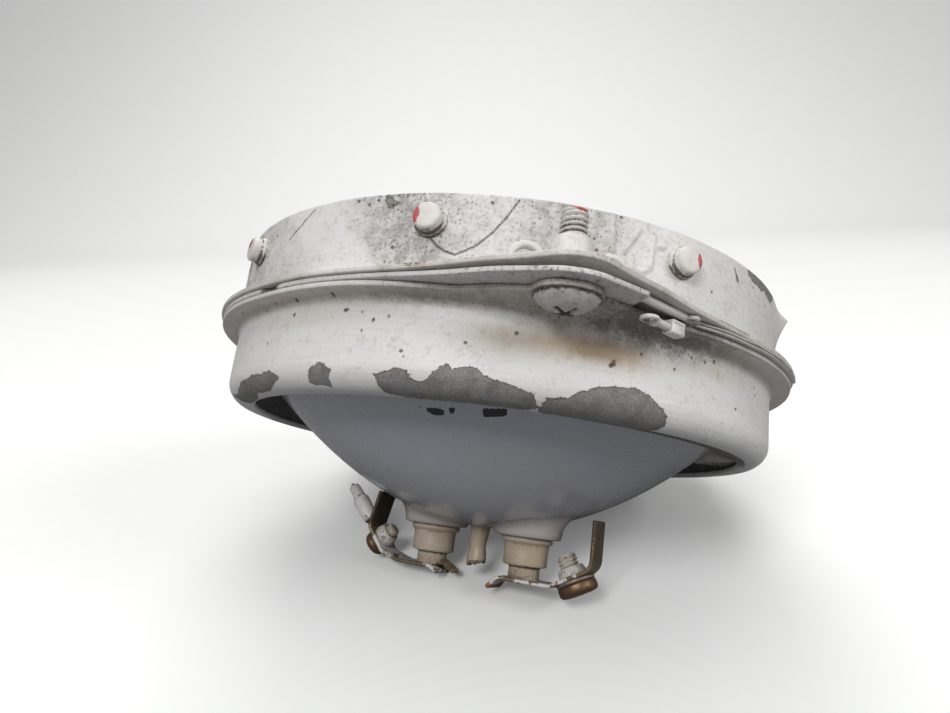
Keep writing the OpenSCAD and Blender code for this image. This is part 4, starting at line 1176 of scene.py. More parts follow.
def filament():
    """The coiled filament between two bent lead posts."""
    lamp, terminals = in_mm("lamp_sizes"), in_mm("terminal_sizes")
    focus = lamp.shoulder_r ** 2 / (lamp.bowl_depth - lamp.shoulder_drop) / 4 - lamp.bowl_depth + lamp.glass_t
    place = Matrix.Rotation(bpy.context.scene.terminal_sizes.turn, 4, "Z")
    coils, per_turn, half = 15, 16, lamp.coil_length / 2
    angle = np.linspace(0, 2 * math.pi * coils, coils * per_turn + 1)
    helix = np.stack([np.linspace(-half, half, len(angle)), lamp.coil_r * np.cos(angle),
                      focus + lamp.coil_r * np.sin(angle)], axis=1)
    helix[0, 1:] = helix[-1, 1:] = (0.2, focus)
    Shape().add(moved(tube(helix, 0.13, 8, up=(0, 0, 1)), place)).piece(
        "coiled_filament", ["Filament wire"], replaces=["filament"], slot="tungsten")
    posts = Shape()
    foot = -terminals.boss_level - 3.4
    knee = 2.2
    for side in (-1, 1):
        x = side * terminals.offset
        bend = [(x - side * knee * (1 - math.cos(a)), 0, focus - knee + knee * math.sin(a))
                for a in np.linspace(0, math.pi / 2, 9)]
        path = [(x, 0, z) for z in np.linspace(foot, focus - knee, 12)[:-1]] + bend
        path += [(side * d, 0, focus) for d in np.linspace(terminals.offset - knee, half + 0.05, 6)[1:]]
        thick = np.full(len(path), lamp.lead_r)
        thick[-3:] = lamp.lead_r * 0.8
        posts.add(moved(tube(path, thick, 20, up=(0, 1, 0)), place))
    posts.piece("bent_lead_posts", ["Stained steel"], replaces=["lead_posts"], slot="plated_steel")


def exhaust_tip():
    """The broken end of the exhaust tube, slanted and jagged."""
    lamp = in_mm("lamp_sizes")
    sides = 40
    angles = full_turn(sides)
    top, end = -lamp.bowl_depth + 0.8, -lamp.bowl_depth - lamp.tip_length + 0.2
    slant = end + 0.45 + 0.42 * np.cos(angles) + 0.16 * np.sin(5 * angles + 1) + 0.1 * np.sin(11 * angles)
    rows = []
    for share in np.linspace(0, 1, 14):
        swell = 1 + 0.16 * (1 - soft_step(share, 0, 0.25)) + 0.05 * math.sin(share * 9)
        swell = swell - 0.12 * bell(share, 0.62, 0.2) + 0.1 * share * (np.cos(angles - 2.6) > 0.4)
        r = lamp.tip_r * np.minimum(swell, 1.16) * 0.98
        rows.append(np.stack([r * np.cos(angles), r * np.sin(angles), top + (slant - top) * share], axis=1))
    for share, bore in ((1.0, 0.6), (0.97, 0.5), (0.8, 0.42)):
        rows.append(np.stack([lamp.tip_r * bore * np.cos(angles), lamp.tip_r * bore * np.sin(angles),
                              top + (slant - top) * share], axis=1))
    soil = np.repeat(np.where(np.arange(len(rows)) < 12, 0.1, 0.5), sides)
    Shape().add((np.vstack(rows), capped(len(rows), sides)), soil=soil, stain=0.4).piece(
        "broken_exhaust_tip", ["Cream paint"], replaces=["exhaust_tip"], slot="ferrule_cream")


# Terminals

# How much wider a nut's or a washer's bore is than its screw, in radius
BORE_GAP = 0.05


def ferrule(side, name, node_name):
    """A metal ferrule on a boss: flare, body and narrower neck."""
    sizes = in_mm("terminal_sizes")
    strip, neck, boss_end = -sizes.strip_level, -sizes.neck_level, -sizes.boss_level
    body, flare = sizes.ferrule_r, sizes.ferrule_r + 0.8
    profile = [(0, strip + 0.03), (sizes.neck_r - 0.15, strip + 0.03), (sizes.neck_r, strip + 0.18),
               (sizes.neck_r, neck - 0.5), (sizes.neck_r + 0.1, neck - 0.2), (sizes.neck_r + 0.4, neck),
               (body - 0.4, neck + 0.06), (body - 0.1, neck + 0.22), (body, neck + 0.6),
               (body - 0.05, neck + 1.7), (body, neck + 2.9), (body, boss_end - 1.7),
               (body + 0.12, boss_end - 1.4),
               (body + 0.45, boss_end - 1.15), (flare - 0.05, boss_end - 0.95), (flare, boss_end - 0.7),
               (flare, boss_end - 0.25), (flare - 0.15, boss_end - 0.04), (0, boss_end - 0.04)]
    points, faces = turned(profile, 64)
    dents = ripple(points, 3.4, 11 + side)
    outward = np.hypot(points[:, 0], points[:, 1]) > 2.0
    points[:, :2] *= 1 - np.where(outward, 0.012 * (1 + dents), 0)[:, None]
    soil = 0.55 * bell(points[:, 2], neck - 0.1, 0.7) + 0.4 * bell(points[:, 2], boss_end - 1.5, 0.6)
    soil += 0.45 * soft_step(-points[:, 2], -strip - 1.4, -strip)
    shape = Shape().add(moved((points, faces), terminal_place(side)), soil=soil + 0.1 * dents,
                        stain=0.4 + 0.3 * dents)
    shape.piece(name, ["Cream paint"], replaces=[node_name], slot="ferrule_cream")


def strip_path(side):
    """Side view of a bent strip, from its free tip to its upright leg."""
    level = -in_mm("terminal_sizes").strip_level
    if side > 0:
        corners = [(-7.0, level - 2.6, 0, 0.5), (-5.0, level - 0.4, 1.4, 0.8), (7.0, level - 0.4, 2.0, 0.8),
                   (15.6, level + 4.2, 3.0, 0.8), (15.6, level + 14, 0, 1)]
    else:
        corners = [(-3.2, level - 1.4, 0, 0.5), (-1.2, level - 0.4, 1.0, 0.8), (7.2, level - 0.4, 2.0, 0.8),
                   (12, level + 1, 2.0, 0.8), (16.6, level + 6.4, 2.6, 0.8), (14.7, level + 14.6, 0, 1)]
    return rounded(corners, closed=False, arc_step=12)


def terminal_strip(side, name, node_name):
    """A bent terminal strip of tarnished brass."""
    sizes = in_mm("terminal_sizes")
    place = np.array(terminal_place(side))

    def in_lamp(x, across, y):
        local = np.stack([x, across, y], axis=-1).reshape(-1, 3)
        return (local @ place[:3, :3].T + place[:3, 3]).reshape(*x.shape, 3)

    path = strip_path(side)
    half = sizes.strip_w / 2
    points, faces = sheet_along(path, sizes.strip_t, -half, half, in_lamp, 0.2, 8)
    run = np.repeat(np.linspace(0, 1, len(path)), len(points) // len(path))
    copper = np.where((run < 0.045) & (side > 0), 1.0, -1.0)
    # Paler along the flat run and darker up the upright leg.
    leg = soft_step(run, 0.62, 0.8) * 0.75
    soil = 0.1 * bell(run, 0.35, 0.2) + leg * 0.75
    Shape().add((points, faces), red=copper, soil=soil, grey=0.55 - 2.4 * leg).piece(name,
                                                                                     ["Tarnished brass"],
                                                                                     replaces=[node_name],
                                                                                     slot="strip_brass")


def screw_place(side):
    """Frame of a terminal screw: its axis along Z, pointing to the strip's upper side."""
    level = -in_mm("terminal_sizes").strip_level
    points = [(7.0, level - 0.4), (15.6, level + 4.2)] if side > 0 else [(12, level + 1), (16.6, level + 6.4)]
    (x0, z0), (x1, z1) = points
    middle = Matrix.Translation(((x0 + x1) / 2, 0, (z0 + z1) / 2))
    return terminal_place(side) @ middle @ Matrix.Rotation(-math.atan2(z1 - z0, x1 - x0), 4, "Y")


def screw_radii(side):
    """Radii of a terminal screw's head and of its shank."""
    screws = in_mm("screw_sizes")
    return (screws.right_head_r, screws.screw_r) if side > 0 else (screws.left_head_r, screws.left_screw_r)


def threaded(radius, pitch, low, high, sides=40, depth=0.45, rows_per_turn=9):
    """A shank with a helical thread, tapered at its end."""
    count = max(4, round((high - low) / pitch * rows_per_turn))
    levels = np.linspace(low, high, count + 1)
    angles = full_turn(sides)
    phase = (levels[:, None] / pitch - angles / (2 * math.pi)) % 1
    crest = np.clip((1 - np.abs(2 * phase - 1)) * 1.7 - 0.35, 0, 1)
    root = radius - depth * pitch
    r = root + (radius - root) * crest
    r = np.minimum(r, root + (radius - root) * np.clip((high - levels) / (0.7 * pitch), 0.0, 1)[:, None])
    points = np.stack([r * np.cos(angles), r * np.sin(angles), levels[:, None] + 0 * r], axis=-1)
    return points.reshape(-1, 3), capped(count + 1, sides)


def loose(shape):
    """A helper object with one shape, for cutting."""
    mesh = bpy.data.meshes.new("helper")
    mesh.from_pydata(np.asarray(shape[0]).tolist(), [], shape[1])
    work = bmesh.new()
    work.from_mesh(mesh)
    bmesh.ops.recalc_face_normals(work, faces=work.faces)
    work.to_mesh(mesh)
    work.free()
    made = bpy.data.objects.new("helper", mesh)
    bpy.context.collection.objects.link(made)
    return made


def cut(shape, cutters):
    """One shape with others taken away from it."""
    made = [loose(part) for part in [shape, *cutters]]
    for cutter in made[1:]:
        modifier = made[0].modifiers.new("Cut", "BOOLEAN")
        modifier.object = cutter
        modifier.operation = "DIFFERENCE"
        modifier.solver = "EXACT"
    whole = made[0].evaluated_get(bpy.context.evaluated_depsgraph_get())
    mesh = whole.to_mesh()
    points = np.array([vertex.co[:] for vertex in mesh.vertices])
    faces = [list(face.vertices) for face in mesh.polygons]
    whole.to_mesh_clear()
    for helper in made:
        data = helper.data
        bpy.data.objects.remove(helper)
        bpy.data.meshes.remove(data)
    return points, faces


def block(low, high):
    """A plain box, for cutting slots."""
    (x0, y0, z0), (x1, y1, z1) = low, high
    points = [(x, y, z) for z in (z0, z1) for x, y in ((x0, y0), (x1, y0), (x1, y1), (x0, y1))]
    sides = [[k, (k + 1) % 4, (k + 1) % 4 + 4, k + 4] for k in range(4)]
    return np.array(points, float), [[3, 2, 1, 0], [4, 5, 6, 7], *sides]


def terminal_screw(side, name, node_name, body):
    """A slotted screw through the strip and its nut."""
    screws, strip = in_mm("screw_sizes"), in_mm("terminal_sizes")
    head_r, shank_r = screw_radii(side)
    head_h, reach = (2.2, 4.0) if side > 0 else (2.0, 3.2)
    seat = -strip.strip_t / 2 - 0.12 - 0.7
    end = seat - head_h
    head = turned([(0, seat), (head_r - 0.35, seat), (head_r - 0.08, seat - 0.12), (head_r, seat - 0.4),
                   (head_r, end + 0.9), (head_r - 0.12, end + 0.5), (head_r - 0.45, end + 0.15),
                   (head_r - 1.0, end + 0.02), (0, end)], 56)
    points, faces = cut(head, [block((-head_r - 1, -0.5, end - 1), (head_r + 1, 0.5, end + 0.9))])
    place = screw_place(side)
    in_slot = (np.abs(points[:, 1]) < 0.55) & (points[:, 2] > end + 0.3) & (points[:, 2] < seat - 0.1)
    shape = Shape().add(moved((points, faces), place), soil=np.where(in_slot, 0.5, 0.15))
    shank = turned([(0, seat - 0.2), (shank_r, seat - 0.2), (shank_r, 0.8), (0, 0.8)], 40)
    thread = threaded(shank_r, screws.pitch, 0.75, 0.8 + reach)
    shape.add(moved(shank, place), soil=0.3)
    shape.add(moved(thread, place), slot=1, soil=0.35, stain=0.65, grey=0.3)
    shape.piece(name, ["Brown screw", "Rivet paint"], body=body, replaces=[node_name],
                slot="screw_brown")


def terminal_washer(side, name, node_name, body):
    """A washer under the screw's head, slightly worn and rounded."""
    outer, bore = screw_radii(side)[0], screw_radii(side)[1] + BORE_GAP
    top = -in_mm("terminal_sizes").strip_t / 2 - 0.06
    ring = turned([(bore, top - 0.1), (bore + 0.08, top), (outer - 0.15, top), (outer, top - 0.15),
                   (outer, top - 0.55), (outer - 0.15, top - 0.7), (bore + 0.08, top - 0.7),
                   (bore, top - 0.6)], 56)
    Shape().add(moved(ring, screw_place(side)), soil=0.2).piece(name, ["Stained steel"], body=body,
                                                                replaces=[node_name], slot="screw_steel")


def terminal_nut(side, name, node_name):
    """The round collar nut on the strip's upper side."""
    bore = screw_radii(side)[1] + BORE_GAP
    outer, height = bore + 0.95, 1.8 if side > 0 else 2.4
    low = in_mm("terminal_sizes").strip_t / 2 + 0.02
    collar = turned([(bore, low + 0.05), (bore + 0.06, low), (outer - 0.1, low), (outer, low + 0.15),
                     (outer - 0.1, low + height * 0.5), (outer - 0.34, low + height - 0.2),
                     (outer - 0.5, low + height), (bore + 0.12, low + height),
                     (bore, low + height - 0.12)], 48)
    collar[0][:, :2] *= np.minimum(1 + 0.02 * ripple(collar[0], 1.6, 21 + side), 1.0)[:, None]
    Shape().add(moved(collar, screw_place(side)), soil=0.35, stain=0.4, grey=0.3).piece(
        name, ["Rivet paint"], replaces=[node_name], slot="strip_brass")


def cut_wire():
    """The cut-off end of a white wire on the left strip's leg."""
    level = -in_mm("terminal_sizes").strip_level
    path = curve_through([(17.9, 0, level + 7.2), (19.6, 0.1, level + 9.1), (22.0, 0, level + 11.6),
                          (23.8, -0.1, level + 13.5), (25.2, 0, level + 15)], 7)
    sides, place, shape = 20, terminal_place(-1), Shape()
    along = np.linspace(0, 1, len(path))
    thick = np.interp(along, [0, 0.08, 0.3, 0.55, 0.62, 0.9, 1], [1.1, 1.6, 1.9, 2.0, 1.5, 1.4, 1.25])
    run = np.repeat(along, sides)
    soil = 0.45 * bell(run, 0, 0.25) + 0.4 * bell(run, 0.6, 0.06) + 0.15
    shape.add(moved(tube(path, thick, sides, up=(0, 1, 0)), place), soil=soil)
    ahead = (path[-1] - path[-2]) / np.linalg.norm(path[-1] - path[-2])
    for k in range(7):
        a = k * math.pi / 3
        out = 0 if k == 6 else 0.45
        aside = np.array([math.cos(a) * ahead[2], math.sin(a), -math.cos(a) * ahead[0]])
        start = path[-1] - ahead * 0.4 + out * aside
        strand = [start, start + ahead * 0.5, start + ahead * (0.9 + 0.1 * (k % 3))]
        shape.add(moved(tube(strand, 0.2, 8, up=(0, 1, 0)), place), slot=1)
    shape.piece("cut_white_wire", ["Insulation", "Bare brass"], replaces=["wire_stub"],
                slot="wire_white")


def frayed_braid():
    """The frayed end of a braid beside the left ferrule's neck."""
    sizes = in_mm("terminal_sizes")
    start = np.array([-sizes.neck_r - 0.1, 0, -sizes.neck_level - 1.9])
    ahead = np.array([-0.866, 0, -0.5])
    up = np.array([0.5, 0, -0.866])
    shape = Shape()
    place = terminal_place(-1)
    for k in range(22):
        across, layer = (k % 11 - 5) * 0.29, (k // 11 - 0.5) * 0.5
        sway = 0.16 * math.sin(k * 2.3)
        reach = 3.3 + 0.6 * math.sin(k * 1.7)
        root = start + np.array([0, across, 0]) + up * layer
        side = np.array([0, 1.0, 0]) * (0.25 * math.sin(k * 3.1))
        path = [root - ahead * 0.3, root + ahead * reach * 0.35 + up * sway * 0.5,
                root + ahead * reach * 0.7 + side * 0.6 - up * sway * 0.4,
                root + ahead * reach + side + up * sway]
        shape.add(moved(tube(curve_through(path, 5), 0.15, 7, up=(0, 1, 0)), place), soil=0.3)
    shape.piece("frayed_braid", ["Bare brass"], replaces=["braid_stub"], slot="strip_brass")


# Small hardware on the rings

def on_band(turn, radius, level):
    """Frame on a cylinder about the lamp's axis: X round it, Y up, Z outwards."""
    c, s = math.cos(math.radians(turn)), math.sin(math.radians(turn))
    return Matrix(((c, 0, s, radius * s), (s, 0, -c, -radius * c), (0, 1, 0, level), (0, 0, 0, 1)))


def at_ears():
    """The three ears' frames: origin on the clamp screw's axis, -Y outwards."""
    circle = in_mm("ring_sizes").ear_circle_r
    return [turned_by(turn) @ Matrix.Translation((0, -circle, 0)) for turn in (0, 120, 240)]


# Red paint that is left on three rivets, as (rivet's turn, middle on its face, half width and height)
RED_MARKS = {-60: ((-0.8, 1.3), (1.4, 0.9)), -20: ((-1.8, 0.1), (0.75, 1.6)), 20: ((1.85, 0.4), (0.7, 1.5))}


def band_rivets():
    """Painted button rivets round the band, each a little off true, with one place left empty."""
    ring = in_mm("ring_sizes")
    grip, r, out = 2.0, ring.rivet_r, ring.rivet_out
    profile = [(0, -grip - 1.1), (1.5, -grip - 1.1), (2.0, -grip - 0.9), (2.15, -grip - 0.55),
               (2.0, -grip - 0.15),
               (1.3, -grip), (1.3, -0.4), (r + 0.38, -0.4), (r + 0.4, 0.3), (r + 0.34, 0.62),
               (r + 0.16, 0.84),
               (r + 0.02, 1.0), (r - 0.02, 1.3), (r - 0.04, out - 0.5), (r - 0.1, out - 0.26),
               (r - 0.26, out - 0.08),
               (r - 0.5, out), (r - 1.2, out + 0.02), (0, out + 0.03)]
    shape = Shape()
    for turn in (-60, -20, 20, 100, 140, 180, 220, 260):
        points, faces = turned(profile, 56)
        seed = 40 + turn // 20
        lump = ripple(points, 2.2, seed)
        face = soft_step(points[:, 2], 0.4, 1.0)
        points[:, :2] *= (1 + 0.018 * face * lump)[:, None]
        points[:, 2] += 0.07 * face * ripple(points, 2.8, seed + 50)
        red = NO_MARKS["red"]
        if turn in RED_MARKS:
            red = spot(points[:, 0], points[:, 1], *RED_MARKS[turn]) + np.where(points[:, 2] > 0.9, 0, -9)
        # Darker round each button's foot and at its step.
        soil = 0.6 * bell(points[:, 2], 0.1, 0.35) + 0.45 * bell(points[:, 2], 0.95, 0.25) + 0.12
        # Painted shadow on the side of each button towards the flange.
        soil += 0.3 * soft_step(-points[:, 1], 0.3, 2.0) * (points[:, 2] < out - 0.3)
        flakes = 0.4 * ripple(points, 1.9, seed + 9) - 0.75
        tilt = turned_by(2.2 * math.sin(turn), "X") @ turned_by(2.0 * math.cos(turn * 3), "Y")
        place = on_band(turn, ring.band_r, ring.rivet_level) @ tilt
        shape.add(moved((points, faces), place), red=red, soil=soil, bare=flakes, stain=0.25)
    shape.piece("button_rivets", ["Rivet paint"], replaces=["band_rivets"], slot="rivet_paint")


def ring_screws():
    """Three truss-head screws up through the ears, the threads' ends still painted."""
    sizes = in_mm("screw_sizes")
    ring = in_mm("ring_sizes")
    seat, shank_r = -ring.sheet - 0.02, sizes.screw_r - 0.25
    cap = (sizes.head_r ** 2 + sizes.head_h ** 2) / (2 * sizes.head_h)
    rim = math.asin(sizes.head_r / cap)
    end = seat - sizes.head_h
    dome = [(cap * math.sin(a), end + cap * (1 - math.cos(a))) for a in np.linspace(0, rim * 0.985, 16)]
    profile = dome + [(sizes.head_r, seat - 0.12), (sizes.head_r - 0.1, seat), (0, seat)]
    bar = block((-2.2, -0.45, end - 1), (2.2, 0.45, end + 1.3))
    recess = [moved(bar, turned_by(turn)) for turn in (35, 125)]
    head_points, head_faces = cut(turned(profile, 64), recess)
    across = np.hypot(head_points[:, 0], head_points[:, 1])
    in_recess = (across < 2.4) & (head_points[:, 2] > end + 0.5)
    head_soil = np.where(in_recess, 0.8, 0.2) + 0.4 * bell(across, sizes.head_r, 0.5)
    head_soil = head_soil + 0.5 * bell(np.hypot(head_points[:, 0], head_points[:, 1] - 1.4), 0, 2.2)
    shape = Shape()
    for place, drop in zip(at_ears(), (FIRST_EAR_DROP, 0, 0)):
        head = moved((head_points, head_faces), place @ Matrix.Translation((0, 0, -drop)))
        shape.add(head, slot=1, soil=head_soil, stain=0.3, grey=0.3)
        shank = turned([(0, seat - 1), (shank_r, seat - 1), (shank_r, 3.7), (0, 3.7)], 40)
        shape.add(moved(shank, place), soil=0.3)
        thread = threaded(sizes.screw_r, sizes.pitch, 3.6, sizes.top, 48)
        x, y, z = thread[0].T
        # Dirt above the nut, and dirt with painted shade in the thread roots between the turns.
        soil = 0.3 * bell(z, 8, 2.4) + 0.35 * soft_step(sizes.screw_r - np.hypot(x, y), 0.08, 0.3)
        red = spot(x, z, (0.5, sizes.top + 0.1), (1.8, 0.8)) - 0.15
        shape.add(moved(thread, place), slot=1, soil=soil, stain=0.3, red=red)
    shape.piece("painted_clamp_screws", ["Stained steel", "Rivet paint"], replaces=["ring_screws"],
                slot="plated_steel")


def anchor_nuts():
    """Anchor nuts on the ears: a plate with a tapered barrel and two sprung arches, painted over."""
    sizes = in_mm("screw_sizes")
    base = 1.0 + in_mm("ring_sizes").sheet + 0.02
    bore, plate_t, lug_x, lug_y = sizes.screw_r + BORE_GAP, 0.8, 6.2, 1.2
    outline = rounded([(-lug_x - 2.5, lug_y - 2.5, 2.2, 1.0), (-lug_x + 1.6, lug_y - 2.4, 1.4, 1.0),
                       (-2.6, -3.3, 2.2, 1.0), (2.6, -3.3, 2.2, 1.0), (lug_x - 1.6, lug_y - 2.4, 1.4, 1.0),
                       (lug_x + 2.5, lug_y - 2.5, 2.2, 1.0), (lug_x + 2.5, lug_y + 2.5, 2.2, 1.0),
                       (2.4, lug_y + 2.3, 2.0, 1.0), (-2.4, lug_y + 2.3, 2.0, 1.0),
                       (-lug_x - 2.5, lug_y + 2.5, 2.2, 1.0)])
    plate = cut(slab(outline, base, base + plate_t, 0.2),
                [turned([(0, base - 1), (bore, base - 1), (bore, base + 3), (0, base + 3)], 48)])
    high = base + sizes.nut_h
    barrel = turned([(bore, base + plate_t - 0.2), (3.3, base + plate_t - 0.2), (3.22, base + plate_t + 0.2),
                     (3.05, base + 2.0), (2.82, high - 0.35), (2.6, high - 0.05), (2.35, high),
                     (bore + 0.1, high),
                     (bore, high - 0.15)], 64)
    rise, outer, inner = 4.2, 2.8, 1.9
    middle, half = (outer + inner) / 2, (outer - inner) / 2
    arch_path = [(-middle, 0, z) for z in np.linspace(base + 0.3, base + rise - outer, 6)]
    arch_path += [(-middle * math.cos(a), 0, base + rise - outer + middle * math.sin(a))
                  for a in np.linspace(0, math.pi, 15)[1:-1]]
    arch_path += [(middle, 0, z) for z in np.linspace(base + rise - outer, base + 0.3, 6)]
    shape = Shape()
    for place in at_ears():
        shape.add(moved(plate, place), soil=0.3, stain=0.35)
        lumps = 1 + 0.02 * ripple(barrel[0] + place.translation, 2.0, 33)
        lumpy = barrel[0].copy()
        wide = np.hypot(lumpy[:, 0], lumpy[:, 1]) > bore + 0.2
        lumpy[:, :2] *= np.where(wide, lumps, 1)[:, None]
        shape.add(moved((lumpy, barrel[1]), place), stain=0.2,
                  soil=0.35 * bell(lumpy[:, 2], base + plate_t, 0.6))
        for x in (-lug_x, lug_x):
            lean = Matrix.Translation((x, lug_y, 0))
            arch = strap_bar(np.array(arch_path), 0.8, half, place=place @ lean)
            shape.add(arch, stain=0.25, soil=0.15)
    shape.piece("painted_anchor_nuts", ["Old white paint"], replaces=["anchor_nuts"], slot="plated_steel")


def strap_bar(path, half_width, half_thick, place, soft=0.18):
    """A flat bar with softened edges along a path in the XZ plane, its width along Y."""
    ahead = np.gradient(path, axis=0)
    ahead /= np.linalg.norm(ahead, axis=1)[:, None]
    side = np.cross(ahead, (0, 1, 0))
    ring = [(half_width, half_thick - soft), (half_width - soft, half_thick), (soft - half_width, half_thick),
            (-half_width, half_thick - soft), (-half_width, soft - half_thick),
            (soft - half_width, -half_thick),
            (half_width - soft, -half_thick), (half_width, soft - half_thick)]
    across, lift = np.array(ring).T
    points = (path[:, None] + across[:, None] * (0, 1, 0) + side[:, None] * lift[:, None]).reshape(-1, 3)
    return moved((points, capped(len(path), len(ring))), place)


# Pull pin and its knuckle, in the pin's own frame: Z along the pin, its end in the knuckle
PIN_MIDDLE = (14.6, -63.6, -2.05)
PIN_TURN = 34.4


def pin_place():
    """Frame of the pin: its axis along Z, pointing to its end in the knuckle."""
    return Matrix.Translation(PIN_MIDDLE) @ turned_by(PIN_TURN) @ turned_by(90, "Y")


def latch_pin():
    """The pull pin with its wire eye."""
    place = pin_place()
    rod = turned([(0, -1.25), (0.55, -1.15), (0.62, -0.9), (0.62, 4.9), (0.5, 5.3), (0, 5.4)], 32)
    collar = turned([(0, -1.7), (0.6, -1.65), (0.86, -1.35), (0.86, -0.8), (0.7, -0.55), (0, -0.5)], 32)
    angle = full_turn(40)
    loop = np.stack([0 * angle, 1.1 * np.cos(angle), -2.28 + 1.12 * np.sin(angle)], axis=1)
    shape = Shape().add(moved(rod, place), stain=0.3)
    shape.add(moved(collar, place), stain=0.2, soil=0.2)
    eye = tube(loop, 0.36, 14, up=(1, 0, 0), closed=True)
    # Dirt and painted shade inside the eye's loop.
    within = soft_step(-np.hypot(eye[0][:, 1], eye[0][:, 2] + 2.28), -1.05, -0.85)
    shape.add(moved(eye, place), stain=0.1, soil=0.75 * within)
    shape.piece("pull_pin_with_eye", ["Rivet paint"], body="latch_pin", replaces=["latch_pin"],
                slot="ring_paint")


def latch_knuckle():
    """The folded knuckle that holds the pin's end, with its tongue up to the ring."""
    place = pin_place()
    bore, wall, low, high = 0.67, 0.42, 2.2, 5.4
    sleeve = turned([(bore, low), (bore + wall - 0.12, low), (bore + wall, low + 0.12),
                     (bore + wall, high - 0.12),
                     (bore + wall - 0.12, high), (bore, high)], 40)
    flat = sleeve[0][:, :2]
    across = np.hypot(*flat.T)
    squareness = np.max(np.abs(flat), axis=1) / across
    flat *= np.where(across > bore + 0.1, 0.98 / np.maximum(squareness, 0.78) * 0.9, 1)[:, None]
    tongue_x = -2.05 + 0.92
    outline = [(low, -1.05), (high, -1.05), (high, 1.05), (low, 1.05)]
    outline = rounded([(x, y, 0.25, 0.8) for x, y in outline])
    tongue = slab(outline, tongue_x - 0.02, tongue_x + 0.56, 0.12)
    upright = Matrix(((0, 0, 1, 0), (0, 1, 0, 0), (1, 0, 0, 0), (0, 0, 0, 1)))
    shape = Shape().add(moved(sleeve, place), stain=0.1, soil=0.2)
    shape.add(moved(tongue, place @ upright), stain=0.25, soil=0.3)
    shape.piece("folded_knuckle", ["Old white paint"], replaces=["latch_knuckle"], slot="ring_paint")


CARRIED = {"seat_ring": "Dull alloy", "front_gasket": "Old rubber", "cushion": "Old rubber",
           "anchor_rivets": "Old white paint"}


def carried_nodes():
    """Finishes and soft edges for the CAD nodes that keep their own shape."""
    for name, look in CARRIED.items():
        carried = frame["nodes"][name]
        carried.data.materials.clear()
        carried.data.materials.append(finish(look))
        modifier = carried.modifiers.new("Soft edges", "BEVEL")
        modifier.width = 0.12 * MM
        modifier.segments = 2
        modifier.limit_method = "ANGLE"


# Stage: floor, lights and camera

CAMERA_AT = (4.895, -147.389, 87.736)
CAMERA_RIGHT = (0.99840, 0.03449, -0.04475)
CAMERA_UP = (0.03423, 0.26103, 0.96472)
CAMERA_AHEAD = (-0.04495, 0.96472, -0.25943)
LENS = 24.78
SENSOR = 36.0


def pale(tree):
    """Pale seamless paper with a faint grain. Only the camera sees it pale: it lights the part darker."""
    look = bpy.context.scene.stage_look
    seen = tree.value("ShaderNodeLightPath", "Is Camera Ray")
    tree.colour = tree.mix(seen, look.bounce, look.floor)
    tree.coat(tree.noise(0.35, 3, 0.6) * 0.06, (0.5, 0.5, 0.5))
    return {"Base Color": tree.colour, "Roughness": 0.9, "Specular IOR Level": 0.2,
            "Emission Color": look.floor, "Emission Strength": seen * 0.1}


def floor():
    """A floor that curves up into the backdrop."""
    side, flat_to, bend, high = 2.5, 0.8, 0.5, 2.0
    run = [(-2.0, 0.0), (-0.5, 0.0), (0.3, 0.0), (flat_to, 0.0)]
    run += [(flat_to + bend * math.sin(a), bend * (1 - math.cos(a)))
            for a in np.linspace(0.1, math.pi / 2, 14)]
    run.append((flat_to + bend, high))
    points = [(x, y, z - 0.05 * MM) for y, z in run for x in np.linspace(-side, side, 9)]
    mesh = bpy.data.meshes.new("cove")
    mesh.from_pydata(points, [], grid_faces(len(run), 9))
    mesh.shade_smooth()
    mesh.materials.append(material("Pale paper", pale))
    made = bpy.data.objects.new("cove", mesh)
    bpy.context.collection.objects.link(made)


def area_light(name, place, target, size, power):
    light = bpy.data.lights.new(name, "AREA")
    light.shape = "RECTANGLE"
    light.size, light.size_y = size
    light.energy = power
    made = bpy.data.objects.new(name, light)
    made.location = place
    made.rotation_euler = (Vector(target) - Vector(place)).to_track_quat("-Z", "Y").to_euler()
    bpy.context.collection.objects.link(made)


def surroundings():
    """Even light from all round, which shows pale to the camera and through glass."""
    look = bpy.context.scene.stage_look
    world = bpy.data.worlds.new("Studio")
    world.use_nodes = True
    tree = Tree(world.node_tree)
    seen = tree.value("ShaderNodeLightPath", "Is Camera Ray").math(
        "MAXIMUM", tree.value("ShaderNodeLightPath", "Is Transmission Ray"))
    back = world.node_tree.nodes["Background"]
    tree.put(back.inputs["Color"], tree.mix(seen, (1, 1, 1), look.floor))
    tree.put(back.inputs["Strength"], tree.math("ADD", look.world, seen * (1 - look.world)))
    bpy.context.scene.world = world


def camera():
    data = bpy.data.cameras.new("View from behind")
    data.lens, data.sensor_width = LENS, SENSOR
    data.clip_start = 0.005
    made = bpy.data.objects.new("View from behind", data)
    columns = Matrix((CAMERA_RIGHT, CAMERA_UP, [-v for v in CAMERA_AHEAD])).transposed()
    made.matrix_world = Matrix.Translation(Vector(CAMERA_AT) * MM) @ columns.to_4x4()
    bpy.context.collection.objects.link(made)
    bpy.context.scene.camera = made


def stage():
    """Floor, lights and camera of the photograph."""
    look = bpy.context.scene.stage_look
    floor()
    area_light("Overhead", (-0.15, 0.05, 1.5), (0, 0, 0.04), (1.4, 1.2), look.key_power)
    area_light("Front", (-0.42, -1.0, 1.1), (0, 0, 0.04), (0.5, 0.4), look.fill_power)
    area_light("Side", (1.15, -0.55, 0.8), (0, 0, 0.04), (0.6, 0.5), look.side_power)
    area_light("Back", (-0.1, 1.0, 1.1), (0, 0, 0.04), (0.8, 0.6), look.back_power)
    surroundings()
    camera()
    bpy.context.scene.view_settings.view_transform = "Standard"


# Operators and panel

